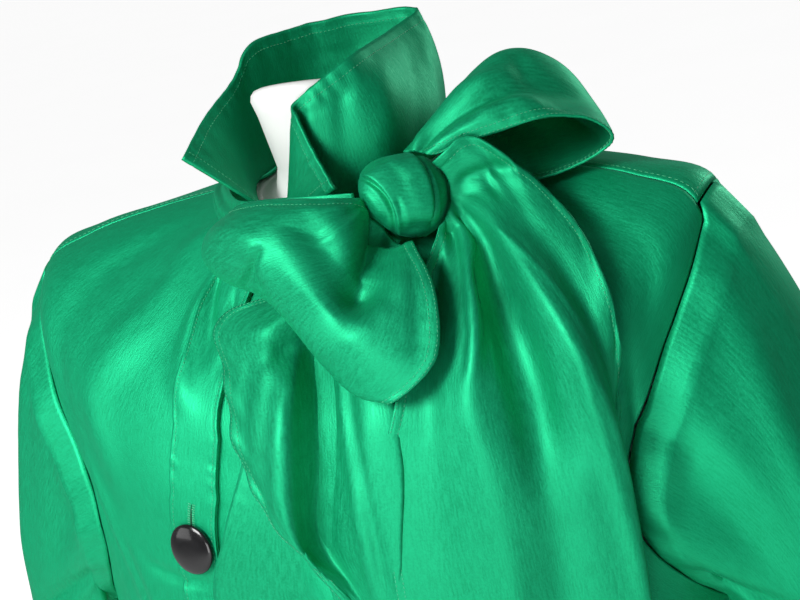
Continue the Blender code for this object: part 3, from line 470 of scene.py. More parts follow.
def front_end(ring):
    """Where a front ends: the yoke's seam, then the armhole, then the side seam."""
    down = np.clip(ring, 0, YOKE_ROW) / YOKE_ROW
    cut = np.maximum(armhole(ring, ARMHOLE_FRONT), YOKE_FORWARD * (ring < YOKE_ROW + 0.3))
    return np.where(ring <= YOKE_ROW, YOKE_AT_NECK + (YOKE_FORWARD - YOKE_AT_NECK) * down**2, cut)


def panel(angle, ring, lift=0.0):
    """A panel's points: the shirt's surface, lifted by its lap and by the relief."""
    z = shirt_at(angle, ring)[..., 2]
    return shirt_at(angle, ring, lift + shirt_relief(angle, z))


def trimmed(points, sides, gap=SEAM / 2):
    """The grid with its named sides moved in along the cloth by a seam's half gap."""
    points = points.copy()
    for side in sides:
        edge, inner, axis = {"top": (0, 3, 0), "bottom": (-1, -4, 0), "left": (0, 3, 1), "right": (-1, -4, 1)}[side]
        rim, near = np.take(points, edge, axis), np.take(points, inner, axis)
        step = near - rim
        length = np.maximum(np.linalg.norm(step, axis=-1, keepdims=True), 1e-6)
        moved = rim + step / length * np.minimum(gap, 0.3 * length)
        if axis == 0:
            points[edge] = moved
        else:
            points[:, edge] = moved
    return points


def lap_angle(ring):
    """Degrees the placket covers at a ring."""
    return np.degrees(PLACKET_WIDTH / through(SHIRT_RINGS, ring)[..., 0])


def lap_lift(angle, ring):
    """The right front rises over two placket widths, then laps over the left front."""
    return LAP_LIFT * ease(1.5 - (opening(ring) - angle) / (2 * lap_angle(ring)))


def normals(points):
    """Unit normals of a grid: its down step crossed with its across step."""
    return unit(np.cross(np.gradient(points, axis=0), np.gradient(points, axis=1)))


def inset(points, side, distance):
    """(path, outward normal) of the line at a distance inside one side, by running length."""
    grid, facing = points, normals(points)
    if side in ("top", "bottom"):
        grid, facing = np.swapaxes(grid, 0, 1), np.swapaxes(facing, 0, 1)
    if side in ("right", "bottom"):
        grid, facing = grid[:, ::-1], facing[:, ::-1]
    run = np.cumsum(np.linalg.norm(np.diff(grid, axis=1), axis=-1), axis=1)
    run = np.concatenate([np.zeros((len(grid), 1)), run], 1)
    k = np.clip((run < distance).sum(1), 1, run.shape[1] - 1)
    row = np.arange(len(grid))
    t = ((distance - run[row, k - 1]) / np.maximum(run[row, k] - run[row, k - 1], 1e-9))[:, None]
    t = np.clip(t, 0, 1)
    return grid[row, k - 1] * (1 - t) + grid[row, k] * t, facing[row, k]


def insets(points, distance, *sides):
    """The lines at one distance inside several sides."""
    return [inset(points, side, distance) for side in sides]


def running(path):
    """The running length at each point of a path."""
    return np.append(0, np.cumsum(np.linalg.norm(np.diff(path, axis=0), axis=-1)))


def placed(at, run, values):
    """Values of three parts, known at the lengths run, read at other lengths."""
    return np.stack([np.interp(at, run, values[:, k]) for k in range(3)], -1)


def sew(name, lines, finish, wall, pitch=0.0028, length=0.0019, thick=0.00021, both=False):
    """Rows of top-stitching on (path, normal) lines: short rounded bars, each lying on the cloth with
    its ends dipping in. With both, the back of the cloth shows the same thread."""
    middles, ways, ups = [], [], []
    for path, normal in lines:
        run = running(path)
        at = np.arange(pitch, run[-1] - pitch / 2, pitch)
        tips = [placed(np.minimum(at + d, run[-1]), run, path) for d in (-length / 2, length / 2)]
        way, up = unit(tips[1] - tips[0]), placed(at, run, normal)
        up = unit(up - way * (up * way).sum(-1, keepdims=True))
        for side in ((1, -1) if both else (1,)):
            middles.append((tips[0] + tips[1]) / 2 + up * side * (wall / 2))
            ways.append(way)
            ups.append(up * side)
    middle, way, up = (np.concatenate(v)[:, None, None] for v in (middles, ways, ups))
    step = np.array([-0.5, -0.3, 0.3, 0.5])[None, :, None, None] * length
    girth = np.array([0.45, 1.0, 1.0, 0.45])[None, :, None, None] * thick
    rise = np.array([-0.9, 0.35, 0.35, -0.9])[None, :, None, None] * thick
    angle = np.linspace(0, 2 * np.pi, 5, endpoint=False)[None, None, :, None]
    side = np.cross(way, up)
    points = middle + way * step + up * (rise + girth * np.sin(angle)) + side * girth * np.cos(angle)
    count = len(points)
    ring = np.arange(3)[:, None] * 5 + np.arange(5)
    after = np.arange(3)[:, None] * 5 + (np.arange(5) + 1) % 5
    quads = np.stack([ring, after, after + 5, ring + 5], -1).reshape(-1, 4)
    base = np.arange(count)[:, None, None] * 20
    faces = (base + quads).reshape(-1, 4).tolist()
    faces += (base[:, 0] + np.arange(5)[::-1]).tolist() + (base[:, 0] + np.arange(15, 20)).tolist()
    piece = new_object(name, points.reshape(-1, 3).tolist(), faces, finish)
    piece.data.shade_smooth()
    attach(piece, "root")
    return piece


thread_green, tree, shader = new_finish("Green sewing thread", Roughness=0.5, Sheen_Weight=0.4)
paint(tree, shader, blotch(tree, 900, 2), (0.008, 0.32, 0.14), (0.03, 0.46, 0.22))
roughen(tree, shader, blotch(tree, 2600, 2), 0.0001, 0.5)

SPREAD = (1 - np.cos(np.linspace(0, np.pi, 71))) / 2  # closer at both ends, where the armhole turns
YOKE_ROWS = np.linspace(0, YOKE_ROW, 40)
SIDE_ROWS = np.linspace(UNDERARM_ROW, HEM_ROW, 76)
FRONT_ROWS = np.concatenate([YOKE_ROWS, YOKE_ROW + 4 * SPREAD[1:-1], SIDE_ROWS])[:, None]
BACK_ROWS = np.concatenate([YOKE_ROW + 4 * SPREAD[:-1], SIDE_ROWS])[:, None]



def spanned(start, span, columns):
    """Angles from a start over a span, row by row, in even columns."""
    return start + span * np.linspace(0, 1, columns)[None, :]


start, end = -180 + front_end(FRONT_ROWS), opening(FRONT_ROWS)
angle = spanned(start, end - start, 98)
right = trimmed(panel(angle, FRONT_ROWS, lap_lift(angle, FRONT_ROWS)), ("left", "top"))
start, end = opening(FRONT_ROWS) - lap_angle(FRONT_ROWS), -front_end(FRONT_ROWS)
left = trimmed(panel(spanned(start, end - start, 112), FRONT_ROWS), ("right", "top"))
limit = armhole(BACK_ROWS, ARMHOLE_BACK)
behind = trimmed(panel(spanned(limit, 180 - 2 * limit, 130), BACK_ROWS), ("top", "left", "right"))
down = (YOKE_ROWS / YOKE_ROW)[:, None] ** 2
forward = YOKE_AT_NECK + (YOKE_FORWARD - YOKE_AT_NECK) * down
angle = spanned(-forward, 180 + 2 * forward, 150)
over = trimmed(panel(angle, YOKE_ROWS[:, None]), ("top", "bottom", "left", "right"))

WIDE_STITCH = {"pitch": 0.0040, "length": 0.0029}
BODY_HEM, YOKE_STITCH_BACK, YOKE_STITCH_FRONT = 0.012, 0.005, 0.004  # in from the edge
front_right = dress("front_right_satin", right, shirt_satin, "front_right", CLOTH)
front_left = dress("front_left_satin", left, shirt_satin, "front_left", CLOTH)
back = dress("back_satin", behind, shirt_satin, "back", CLOTH)
yoke = dress("yoke_satin", over, shirt_satin, "yoke", CLOTH)
hems = [sew(f"{name}_hem_stitches", insets(points, BODY_HEM, "bottom"), thread_green, CLOTH, **WIDE_STITCH)
        for name, points in (("front_right", right), ("front_left", left), ("back", behind))]
yoke_lines = insets(over, YOKE_STITCH_BACK, "bottom") + insets(over, YOKE_STITCH_FRONT, "left", "right")
yoke_threads = sew("yoke_stitches", yoke_lines, thread_green, CLOTH, **WIDE_STITCH)


# ---------------------------------------------------------------------------------------------
# The placket: a folded strip of the same satin, top-stitched down both edges of the right front,
# with upright buttonholes worked in close green thread.

PLACKET_WALL, PLACKET_REACH, PLACKET_HEM = 0.0012, 0.0015, 0.0030
BUTTON_ROWS = (0.6, 5.78, 8.9, 10.3, 11.35)  # on the shirt's rings
SLIT_BELOW, SLIT_ABOVE = 0.004, 0.029


def hemmed(points, sides, width, swell=0.00035, pucker=0.0004):
    """A turned hem: the cloth swells out to its stitching, dips under the thread, and puckers in
    uneven sines along it."""
    facing, total = normals(points), 0.0
    for side in sides:
        axis = 0 if side in ("top", "bottom") else 1
        steps = np.linalg.norm(np.diff(points, axis=axis), axis=-1)
        run = np.cumsum(steps, axis)
        run = np.concatenate([np.zeros_like(np.take(run, [0], axis)), run], axis)
        if side in ("bottom", "right"):
            run = np.take(run, [-1], axis) - run
        length = np.cumsum(np.linalg.norm(np.gradient(points, axis=1 - axis), axis=-1), 1 - axis)
        wave = np.sin(length * 560 + 2.3 * np.sin(length * 83)) + 0.6 * np.sin(length * 310 + 1)
        total = (total + swell * ease((width - run) / 0.0016 + 0.5)
                 - 1.2 * swell * np.exp(-((run - width) / 0.0011) ** 2)
                 + pucker * wave * np.exp(-((run - width) / (1.1 * width)) ** 2))
    return points + facing * total[..., None]


ring = FRONT_ROWS[4:]
angle = opening(ring) - lap_angle(ring) * np.linspace(1, 0, 31)[None, :]
strip = hemmed(panel(angle, ring, lap_lift(angle, ring) + PLACKET_REACH), ("left", "right"), PLACKET_HEM,
               0.0002, 0.00025)
placket = dress("placket_satin", strip, shirt_satin, "placket", PLACKET_WALL)
placket_threads = sew("placket_stitches", insets(strip, PLACKET_HEM, "left", "right"), thread_green, PLACKET_WALL)

slit_dark, tree, shader = new_finish("Buttonhole shadow", Roughness=0.9)
paint(tree, shader, blotch(tree, 700), (0.002, 0.030, 0.012), (0.003, 0.060, 0.024))
worked, holes = [], []
rows = np.linspace(0.04, HEM_ROW, 400)
centre_z = shirt_at(opening(rows) - lap_angle(rows) / 2, rows)[:, 2]
for k, at in enumerate(BUTTON_ROWS):
    seat_z = np.interp(at, rows, centre_z)
    reach = min(SLIT_ABOVE, centre_z[0] - seat_z)
    path_ring = np.interp(-(seat_z + np.linspace(-SLIT_BELOW, reach, 23)), -centre_z, rows)
    middle = opening(path_ring) - lap_angle(path_ring) / 2
    lift = lap_lift(middle, path_ring) + PLACKET_REACH + PLACKET_WALL / 2
    line = panel(middle, path_ring, lift)
    facing = shirt_normal(middle, path_ring)
    aside = unit(np.cross(np.gradient(line, axis=0), facing))
    half = 0.0007 * np.sin(np.linspace(0.1, np.pi - 0.1, 23))[:, None]
    slit = np.stack([line - aside * half, line + aside * half], 1) + facing[:, None] * 0.00025
    holes.append(dress(f"buttonhole_{k + 1}", slit, slit_dark, None, 0.0002))
    for n in range(0, 23):
        for hand in (-1, 1):
            span = np.array([0.0004, 0.0032 + 0.0004 * math.sin(5.1 * n + k)])[:, None] * hand
            worked.append((line[n] + aside[n] * span, np.array([facing[n], facing[n]])))
holes.append(sew("buttonhole_stitches", worked, thread_green, 0.0002, pitch=0.0013, length=0.0026, thick=0.00032))


# ---------------------------------------------------------------------------------------------
# The sleeves: wide tubes of the shirt's satin set into the dropped armholes. They hang empty, so
# they flatten and break into drag folds at the elbow, and gather a little into the cuff.

SLEEVE_SECTIONS = np.array([
    # outer x, outer z, inner x, inner z, half depth front, half depth back, armhole's share
    (0.263, 0.838, 0.243, 0.592, 0.084, 0.070, 0.75),  # cap
    (0.288, 0.780, 0.250, 0.572, 0.074, 0.062, 0.40),  # upper arm
    (0.316, 0.690, 0.257, 0.535, 0.062, 0.053, 0.12),  # above elbow
    (0.341, 0.575, 0.263, 0.480, 0.050, 0.046, 0.0),  # elbow
    (0.357, 0.450, 0.267, 0.405, 0.042, 0.040, 0.0),  # forearm
    (0.366, 0.345, 0.270, 0.335, 0.035, 0.034, 0.0),  # wrist
    (0.368, 0.300, 0.272, 0.298, 0.030, 0.030, 0.0),  # cuff seam
])
SLEEVE_GAP, SLEEVE_DRAPE = 0.0015, 0.004
SLEEVE_ROUND = 0.83  # millimetres for each degree of turn
SLEEVE_FOLDS = np.array([
    # from turn, from z, to turn, to z, bow, width, height; 90 is the middle of the front
    (62, 812, 96, 640, 5, 8, 5.4), (84, 806, 120, 660, 4, 6, -4.8), (104, 760, 138, 620, -4, 6, 4.2),
    (34, 800, 58, 610, 5, 8, -4.5), (150, 668, 62, 588, 7, 6, 5.1), (158, 634, 70, 548, 7, 6, -5.1),
    (152, 598, 58, 520, 6, 7, 4.8), (148, 560, 66, 498, 5, 6, -4.2), (44, 560, 62, 410, -4, 8, 4.5),
    (92, 520, 84, 345, 4, 7, -4.8), (118, 490, 124, 335, -3, 7, 4.5), (66, 430, 72, 318, 3, 6, 3.6),
    (12, 700, 8, 500, 3, 8, 3.6), (236, 800, 262, 650, 5, 8, 4.8), (268, 780, 292, 630, -4, 7, -4.5),
    (216, 690, 300, 600, 6, 7, 4.8), (210, 640, 292, 556, 6, 7, -4.5), (222, 590, 300, 520, 5, 7, 4.2),
    (256, 520, 250, 350, 4, 8, -4.5), (292, 500, 300, 330, -3, 8, 4.2), (230, 440, 226, 320, 3, 6, 3.3),
    (335, 640, 340, 420, 3, 8, -3.9),
])


def sleeve_ring(section, turn, side):
    """A flattened tube between an outer and an inner line: x and z by cos, y by -sin."""
    outer_x, outer_z, inner_x, inner_z, front, back = np.moveaxis(np.asarray(section)[..., :6], -1, 0)
    c, s = np.cos(turn), np.sin(turn)
    return np.stack([side * ((outer_x + inner_x) / 2 + (outer_x - inner_x) / 2 * c),
                     -np.where(s > 0, front, back) * s,
                     (outer_z + inner_z) / 2 + (outer_z - inner_z) / 2 * c], -1)


def armhole_line(side, count):
    """The armhole's edge and its turn (0 at the tip, pi under the arm), evenly spaced by length."""
    rows = YOKE_ROW + 4 * SPREAD[1:-1]
    top = np.linspace(0, -YOKE_FORWARD, 6)
    ring = np.concatenate([[YOKE_ROW] * 6, rows, [UNDERARM_ROW], rows[::-1], [YOKE_ROW]])
    angle = np.concatenate([top, -front_end(rows), [0.0], armhole(rows[::-1], ARMHOLE_BACK), [0.0]])
    points = panel(angle if side > 0 else 180 - angle, ring)
    run = running(points)
    under = run[len(top) + len(rows)]
    turn = np.where(run < under, run / under, 1 + (run - under) / (run[-1] - under)) * np.pi
    at = np.linspace(0, run[-1], count, endpoint=False)
    return placed(at, run, points), np.interp(at, run, turn)


cuff_seams = {}
for side, hand in ((1, "left"), (-1, "right")):
    edge, turn = armhole_line(side, 116)
    first = edge + (side * SLEEVE_GAP, 0, 0)
    top, under = edge[0], edge[np.argmin(np.abs(turn - np.pi))]
    oval = sleeve_ring((side * top[0], top[2], side * under[0], under[2], 0.080, 0.066), turn, side)
    k = np.linspace(0, 6, 122)[:, None]
    section = through(SLEEVE_SECTIONS, k)
    tube = sleeve_ring(section, turn[None, :], side) + (first - oval) * section[..., 6:]
    drape = SLEEVE_DRAPE * np.sin(3 * turn + 1.1 * k + side) * ease(k / 2)
    tube[..., 1] += drape * np.abs(np.sin(turn))
    neck = first + (tube[0] - first) * np.linspace(0, 1, 6)[:-1, None, None]
    tube = np.concatenate([neck, tube])
    rows = SLEEVE_FOLDS * (SLEEVE_ROUND, 1, SLEEVE_ROUND, 1, 1, 1, 1)
    relief = folds(np.degrees(turn)[None, :] * SLEEVE_ROUND, tube[..., 2] * 1000 + side * 8, rows, 360 * SLEEVE_ROUND)
    step = np.arange(len(tube))[:, None] / len(tube)
    relief = relief * ease(step / 0.10) * ease((1 - step) / 0.06)
    relief = relief + 0.0010 * np.sin(17 * turn + 2 * np.sin(3 * turn)) * np.exp(-((step - 0.035) / 0.035) ** 2)
    relief = relief + 0.0012 * np.sin(15 * turn + 2 * np.sin(2 * turn)) * np.exp(-((step - 0.955) / 0.04) ** 2)
    ring_normal = unit(np.cross(np.gradient(tube, axis=0), np.roll(tube, -1, 1) - np.roll(tube, 1, 1)))
    tube = tube + ring_normal * (relief * side)[..., None]
    sleeve = dress(f"sleeve_{hand}_satin", tube, shirt_satin, f"sleeve_{hand}", CLOTH, tube=True)
    front = front_left if hand == "left" else front_right
    cuff_seams[hand] = tube[-1]


# ---------------------------------------------------------------------------------------------
# The cuffs: short straight bands of doubled satin, top-stitched round both edges, each with a
# small black button.

CUFF_LENGTH, CUFF_GAP, CUFF_WALL, CUFF_HEM = 0.058, 0.0009, 0.002, 0.005
for hand, seam in cuff_seams.items():
    middle = seam.mean(0)
    v = np.linspace(0, 1, 33)[:, None, None]
    fall = CUFF_GAP + (CUFF_LENGTH - CUFF_GAP) * v
    band = middle + (seam - middle) * (0.985 - 0.02 * v) - (0, 0, 1) * fall
    band = hemmed(np.concatenate([band, band[:, :1]], 1), ("top", "bottom"), CUFF_HEM, 0.0003, 0.0003)
    cuff = dress(f"cuff_{hand}_satin", band[:, :-1], shirt_satin, f"cuff_{hand}", CUFF_WALL, tube=True)
    outward = 1 if hand == "left" else -1
    lines = [(path, normal * outward) for path, normal in insets(band, CUFF_HEM, "top", "bottom")]
    cuff_threads = sew(f"cuff_{hand}_stitches", lines, thread_green, CUFF_WALL, both=True)


# ---------------------------------------------------------------------------------------------
# The collar: two layers of satin over a soft interlining, stood up all round, its front corners
# turned out. One line of top-stitching runs inside the edge and puckers the cloth.

COLLAR_WALL, COLLAR_RISE, COLLAR_HEM = 0.0022, 0.0025, 0.0075
COLLAR_STATIONS = np.array([
    # seam angle, seam out, edge x, edge y, edge z, bulge (millimetres)
    (-113, 1, -73, -78, 931, 0),  # right point
    (-133, 0, -73, -40, 950, 3),
    (-163, 0, -66, -6, 967, 3),
    (-198, 0, -59, 13, 986, 2),
    (-232, 0, -42, 42, 989, 4),
    (-270, 0, -8, 63, 990, 5),  # back
    (-318, 0, 40, 69, 987, 8),
    (-350, 0, 38, 26, 979, 12),  # left side
    (-388, 0, 43, -37, 976, 12),
    (-420, 0, 29, -55, 967, 8),
    (-445, 0, 17, -61, 960, 4),  # left front
    (-459, 1, 11, -64, 956, 1),
    (-463, 4, 9, -68, 952, 0),  # crease
    (-463, 7, 14, -73, 946, 0),
    (-461, 10, 22, -78, 928, 1),  # flap
    (-458, 12, 38, -89, 902, 0),  # left point
])
COLLAR_FOLDS = np.array([
    # from station, share of height, to station, share, bow, width, height
    (4.25, 1.02, 4.30, 0.62, 2, 4, 1.5), (4.62, 1.02, 4.66, 0.70, -2, 3.5, -1.7), (4.98, 1.02, 4.95, 0.60, 2, 4, 1.7),
    (5.30, 1.02, 5.36, 0.66, 1, 3.2, -1.6), (5.62, 1.02, 5.58, 0.72, 1, 3.4, 1.5),
    (5.95, 1.02, 5.92, 0.74, -1, 3, -1.3),
    (5.10, 0.62, 5.40, 0.22, 3, 9, 2.6), (4.60, 0.50, 4.95, 0.15, 3, 8, -2.2), (5.75, 0.55, 5.95, 0.20, 2, 7, -2.0),
    (3.55, 0.95, 3.70, 0.30, 2, 7, -1.6), (2.55, 0.90, 2.40, 0.30, 3, 9, 1.4), (1.20, 0.80, 1.60, 0.20, 3, 9, -1.2),
    (9.55, 0.95, 9.95, 0.15, 5, 12, 2.8), (8.55, 0.92, 9.10, 0.10, 4, 8, -2.6), (7.60, 0.90, 8.50, 0.06, 3, 6, 2.4),
    (7.10, 0.82, 7.85, 0.02, 3, 5, -2.2), (6.60, 0.80, 7.20, 0.02, 3, 6, 2.0), (10.3, 0.86, 7.90, 0.84, 3, 4, -1.2),
])
stations = np.linspace(0, 15, 210)
steps = through(COLLAR_STATIONS, stations)
outward = np.stack([np.cos(np.radians(steps[:, 0])), np.sin(np.radians(steps[:, 0])), 0 * stations], -1)
foot = shirt_at(steps[:, 0], 0.0) + outward * steps[:, 1:2] / 1000 + (0, 0, COLLAR_RISE)
v = np.linspace(0, 1, 46)[:, None, None]
stand = foot * (1 - v) + steps[:, 2:5] / 1000 * v + outward * (steps[:, 5:6] / 1000 * 4 * v * (1 - v))
height = folds(stations[None, :] * 25, v[..., 0] * 80, COLLAR_FOLDS * (25, 80, 25, 80, 1, 1, 0.7))
facing = normals(stand)
facing = facing * np.sign((facing * outward).sum(-1).mean())
stand = stand + facing * (height * ease(v[..., 0] / 0.12))[..., None]
stand = hemmed(stand, ("bottom",), COLLAR_HEM, 0.00025, 0.00035)
# The collar's satin is the shirt's satin set darker: painted shade standing in for the shade that falls on the collar.
collar_satin_painted_shade = satin_finish("Collar satin with painted shade", (0.001, 0.240, 0.092), (0.004, 0.360, 0.160), 0.46, 0.10, 0.06)
collar = dress("collar_satin_painted_shade", stand, collar_satin_painted_shade, "collar", COLLAR_WALL)
collar_threads = sew("collar_stitches", insets(stand, COLLAR_HEM, "bottom", "left", "right"), thread_green,
                     COLLAR_WALL, both=True)


# ---------------------------------------------------------------------------------------------
# The scarf's neck band: the same long satin scarf gathered into a soft rope round the outside of
# the collar, from the knot, round the back and in behind the knot.

NECK_BAND = np.array([
    # upper edge x, y, z, lower edge out, lower edge down (millimetres)
    (49, -87, 898, 1, 20),  # at the knot
    (4, -88, 900, 4, 24),
    (-42, -71, 898, 8, 22),
    (-78, -20, 901, 13, 7),  # right
    (-82, 16, 903, 12, 7),
    (-62, 64, 915, 11, 10),
    (0, 86, 924, 8, 24),  # back
    (60, 66, 916, 10, 12),
    (83, 14, 906, 12, 8),
    (88, -22, 903, 8, 9),
    (76, -46, 888, 2, 12),  # behind the knot
]) / 1000
SCARF_WALL = 0.0016
SCARF_HEM, SCARF_EDGE = 0.006, 0.0015  # its two rows of stitching, in from the edge
# The scarf's satin is set a little darker than the shirt's: painted shade, mostly for the knot.
scarf_satin = satin_finish("Scarf satin with painted shade", (0.001, 0.260, 0.102), (0.009, 0.430, 0.196), 0.44, 0.10, 0.08)
station = np.linspace(0, 10, 240)
path = through(NECK_BAND, station)
away = unit((path[:, :3] - (0, shirt_at(90, 0)[1] / 6, 0)) * (1, 1, 0))
v = np.linspace(0, 1, 25)[:, None, None]
wrap = path[:, :3] + away * path[:, 3:4] * np.sin(v * np.pi / 2) - np.array([0, 0, 1]) * path[:, 4:5] * v
pleat = 0.0009 * np.sin(2 * np.pi * (2.1 * v[..., 0] + 0.25 * np.sin(station * 1.1))) * ease(v[..., 0] * 5)
wrap = wrap - normals(wrap) * (pleat * ease((10 - station) / 1.5) * ease(station / 0.5))[..., None]
neck_band = dress("neck_band_satin", wrap[::-1], scarf_satin, "scarf_neck_band", SCARF_WALL)


# ---------------------------------------------------------------------------------------------
# The knot: the scarf wrapped tightly over itself, so each turn laps the next with a deep crease.
# The bow is set out on the photograph's own axes (across, up and out, towards the camera), in
# millimetres from the knot's middle.

KNOT = np.array([0.078, -0.077, 0.890])
AZIMUTH, ELEVATION, ROLL = (math.radians(a) for a in (28, 14, 12))  # of the photograph's view
KNOT_HALF, KNOT_SQUARE, KNOT_GAP = np.array([0.0275, 0.0265, 0.0235]), 2.5, 0.0010
KNOT_DENT, KNOT_SWELL = 0.20, 0.10  # how far the lower left draws in and the upper left swells, as shares
KNOT_LAPS = np.array([
    # from across, up, to across, up, bow, width, height: the upper turn lies to the left of the line
    (-27, 13, -4, -23, 7.0, 16, 4.4),  # the main turn over the lower left one
    (15, -18, 4, 27, -6.0, 14, 4.2),  # the main turn over the right one
    (22, -14, 13, 20, -3.0, 6, 1.6),  # and that over the last
])
KNOT_CREASES = np.array([
    # from across, up, to across, up, bow, width, height
    (-29, 12, -6, -24, 7.0, 1.8, -2.4), (17, -19, 4, 28, -5, 1.8, -2.2), (-4, -2, -1, -20, 1, 1.8, -0.9),
    (-14, 21, 6, -20, 6, 4.0, -0.5),
    (-12, 20, 6, 8, 2, 6.0, 0.8), (2, 6, 6, -16, 2, 6.0, 0.8), (-28, 4, -14, -14, 1, 2.4, 0.9),
])
level = np.array([math.cos(AZIMUTH), math.sin(AZIMUTH), 0])
OUT = np.array([math.sin(AZIMUTH) * math.cos(ELEVATION), -math.cos(AZIMUTH) * math.cos(ELEVATION),
                math.sin(ELEVATION)])
upright = np.cross(OUT, level)
ACROSS = level * math.cos(ROLL) - upright * math.sin(ROLL)
UP = upright * math.cos(ROLL) + level * math.sin(ROLL)


def bow_at(points):
    """Places (across, up, out) points, in metres from the knot, in the room."""
    return KNOT + points @ np.array([ACROSS, UP, OUT])


def knot_reach(points, extra=0.0):
    """How far along each point's direction the knot's rounded block reaches, as a share of it: less
    by a bell curve round the lower left, where a turn pulls it in, and more round the upper left."""
    reach = ((np.abs(points) / (KNOT_HALF + extra)) ** KNOT_SQUARE).sum(-1) ** (-1 / KNOT_SQUARE)
    low, high = ((np.degrees(np.arctan2(points[..., 1], points[..., 0])) - a + 180) % 360 - 180 for a in (-132, 158))
    flat = np.hypot(points[..., 0], points[..., 1]) / np.linalg.norm(points, axis=-1)
    return reach * (1 + (KNOT_SWELL * np.exp(-(high / 30) ** 2) - KNOT_DENT * np.exp(-(low / 32) ** 2)) * flat**2)


lean = np.linspace(-0.985, 0.985, 102)[:, None] * np.pi / 2
turn = np.linspace(0, 2 * np.pi, 148, endpoint=False)[None, :]
way = np.stack([np.sin(lean) + 0 * turn, np.cos(lean) * np.sin(turn), np.cos(lean) * np.cos(turn)], -1)
ball = way * knot_reach(way)[..., None]
x, y = ball[..., 0] * 1000, ball[..., 1] * 1000
front = (laps(x, y, KNOT_LAPS) + folds(x, y, KNOT_CREASES)) * ease(ball[..., 2] / 0.006)
rear = (laps(y, x, KNOT_LAPS) + folds(x + 5, y, KNOT_CREASES)) * ease(-ball[..., 2] / 0.006)
ball = ball + way * (front + 0.6 * rear - 0.0012)[..., None]
knot = dress("knot_satin", bow_at(ball[:, ::-1]), scarf_satin, "scarf_knot", tube=True, ends=True)


# ---------------------------------------------------------------------------------------------
# The two loops: wide flat lengths of the scarf that leave the knot gathered, swell, turn round
# and come back, open like an eye. Their hems are narrow and double-stitched.

LOOP_SHOULDER = np.array([
    # one row a rail: out of the knot, top layer, crown, turn, under layer, into the knot
    ((13, 22, 6), (58, 39, 16), (104, 46, 15), (125, 33, 10), (84, 12, 0), (23, 9, -2)),
    ((8, 25, 3), (50, 64, 5), (102, 60, -6), (127, 37, -12), (84, 17, -11), (23, 10, -5)),
    ((1, 26, -1), (54, 86, -12), (98, 83, -26), (124, 44, -36), (84, 34, -28), (21, 12, -8)),
    ((0, 27, -6), (54, 85, -32), (94, 81, -50), (115, 52, -58), (84, 48, -42), (19, 14, -11)),
    ((3, 27, -11), (48, 66, -50), (86, 70, -68), (100, 57, -76), (78, 60, -54), (16, 16, -13)),
]) / 1000
LOOP_FRONT = np.array([
    ((-22, -2, 9), (-50, -3, 17), (-86, -3, 2), (-104, -7, -26), (-62, -12, -8), (-22, -7, 1)),
    ((-22, -7, 13), (-50, -12, 28), (-98, -17, 12), (-126, -28, -36), (-66, -24, -6), (-20, -11, 2)),
    ((-19, -13, 16), (-46, -24, 36), (-92, -33, 22), (-117, -48, -26), (-62, -36, 0), (-17, -16, 3)),
    ((-14, -19, 18), (-38, -36, 38), (-72, -48, 32), (-88, -60, -2), (-50, -46, 6), (-13, -21, 4)),
    ((-9, -24, 19), (-24, -46, 38), (-48, -68, 42), (-63, -83, 12), (-34, -60, 18), (-9, -25, 6)),
    ((-4, -28, 20), (-8, -56, 42), (-24, -92, 50), (-36, -115, 32), (-16, -75, 31), (-4, -29, 9)),
    ((5, -28, 20), (18, -59, 43), (18, -98, 53), (-9, -123, 46), (5, -84, 38), (2, -30, 14)),
]) / 1000
LOOP_TURN, LOOP_OPEN, LOOP_FRONT_LIFT = 3, 0.004, 0.020
SHOULDER_FOLDS = np.array([
    # from across, up, to across, up, bow, width, height
    (9, 20, 88, 52, 8, 8.0, 4.4), (7, 23, 80, 64, 10, 5.0, -4.0), (5, 25, 64, 76, 12, 5.0, 3.2),
    (2, 26, 44, 78, 10, 4.0, -2.6), (12, 20, 70, 40, 4, 3.4, -3.0), (14, 19, 48, 33, 2, 2.4, 1.6),
    (66, 84, 114, 56, -6, 10, -3.0), (60, 60, 118, 44, -4, 8, 2.0), (44, 48, 84, 58, 3, 5, 2.4),
])
FRONT_FOLDS = np.array([
    (-12, -10, -31, -68, 4, 12.0, -19.0), (-14, -14, -24, -46, 1, 4.0, -4.0), (-88, -36, -46, -98, -5, 7.0, 3.0),
    (-86, -32, -99, -60, 0, 3.6, -4.5), (-93, -46, -74, -78, -3, 4.5, -2.0), (-14, -34, -14, -74, -4, 7, 2.4),
    (-27, -5, -64, -9, 2, 2.2, 1.2),
    (-27, -8, -74, -20, 4, 3.0, -1.2), (-26, -11, -58, -28, 4, 3.0, 1.0), (-118, -22, -86, -34, 4, 8, 2.2),
    (2, -36, 6, -100, 3, 5, -1.4), (-62, -16, -34, -78, 8, 17, -9.0),
])


def finer(points, rows, columns):
    """The same surface with more points: a Catmull-Rom curve down it, then one across it."""
    down = through(points, np.linspace(0, len(points) - 1, rows))
    return np.swapaxes(through(np.swapaxes(down, 0, 1), np.linspace(0, points.shape[1] - 1, columns)), 0, 1)


def seated(points):
    """Cloth points moved straight out of the knot until they clear it."""
    return points * np.maximum(1.0, knot_reach(points, KNOT_GAP))[..., None]


def narrow_hem(points, *sides):
    """The scarf's narrow turned hem."""
    return hemmed(points, sides, SCARF_HEM, 0.0003, 0.00014)


def scarf_piece(name, node, points, lines, both, **sheet):
    """One stretch of the scarf: its satin and its rows of hem stitches. The sheet values (its flat cut) are not used.
    """
    piece = dress(f"{name}_satin", points, scarf_satin, node, SCARF_WALL)
    threads = sew(f"{name}_stitches", lines, thread_green, SCARF_WALL, both=both)
    return piece


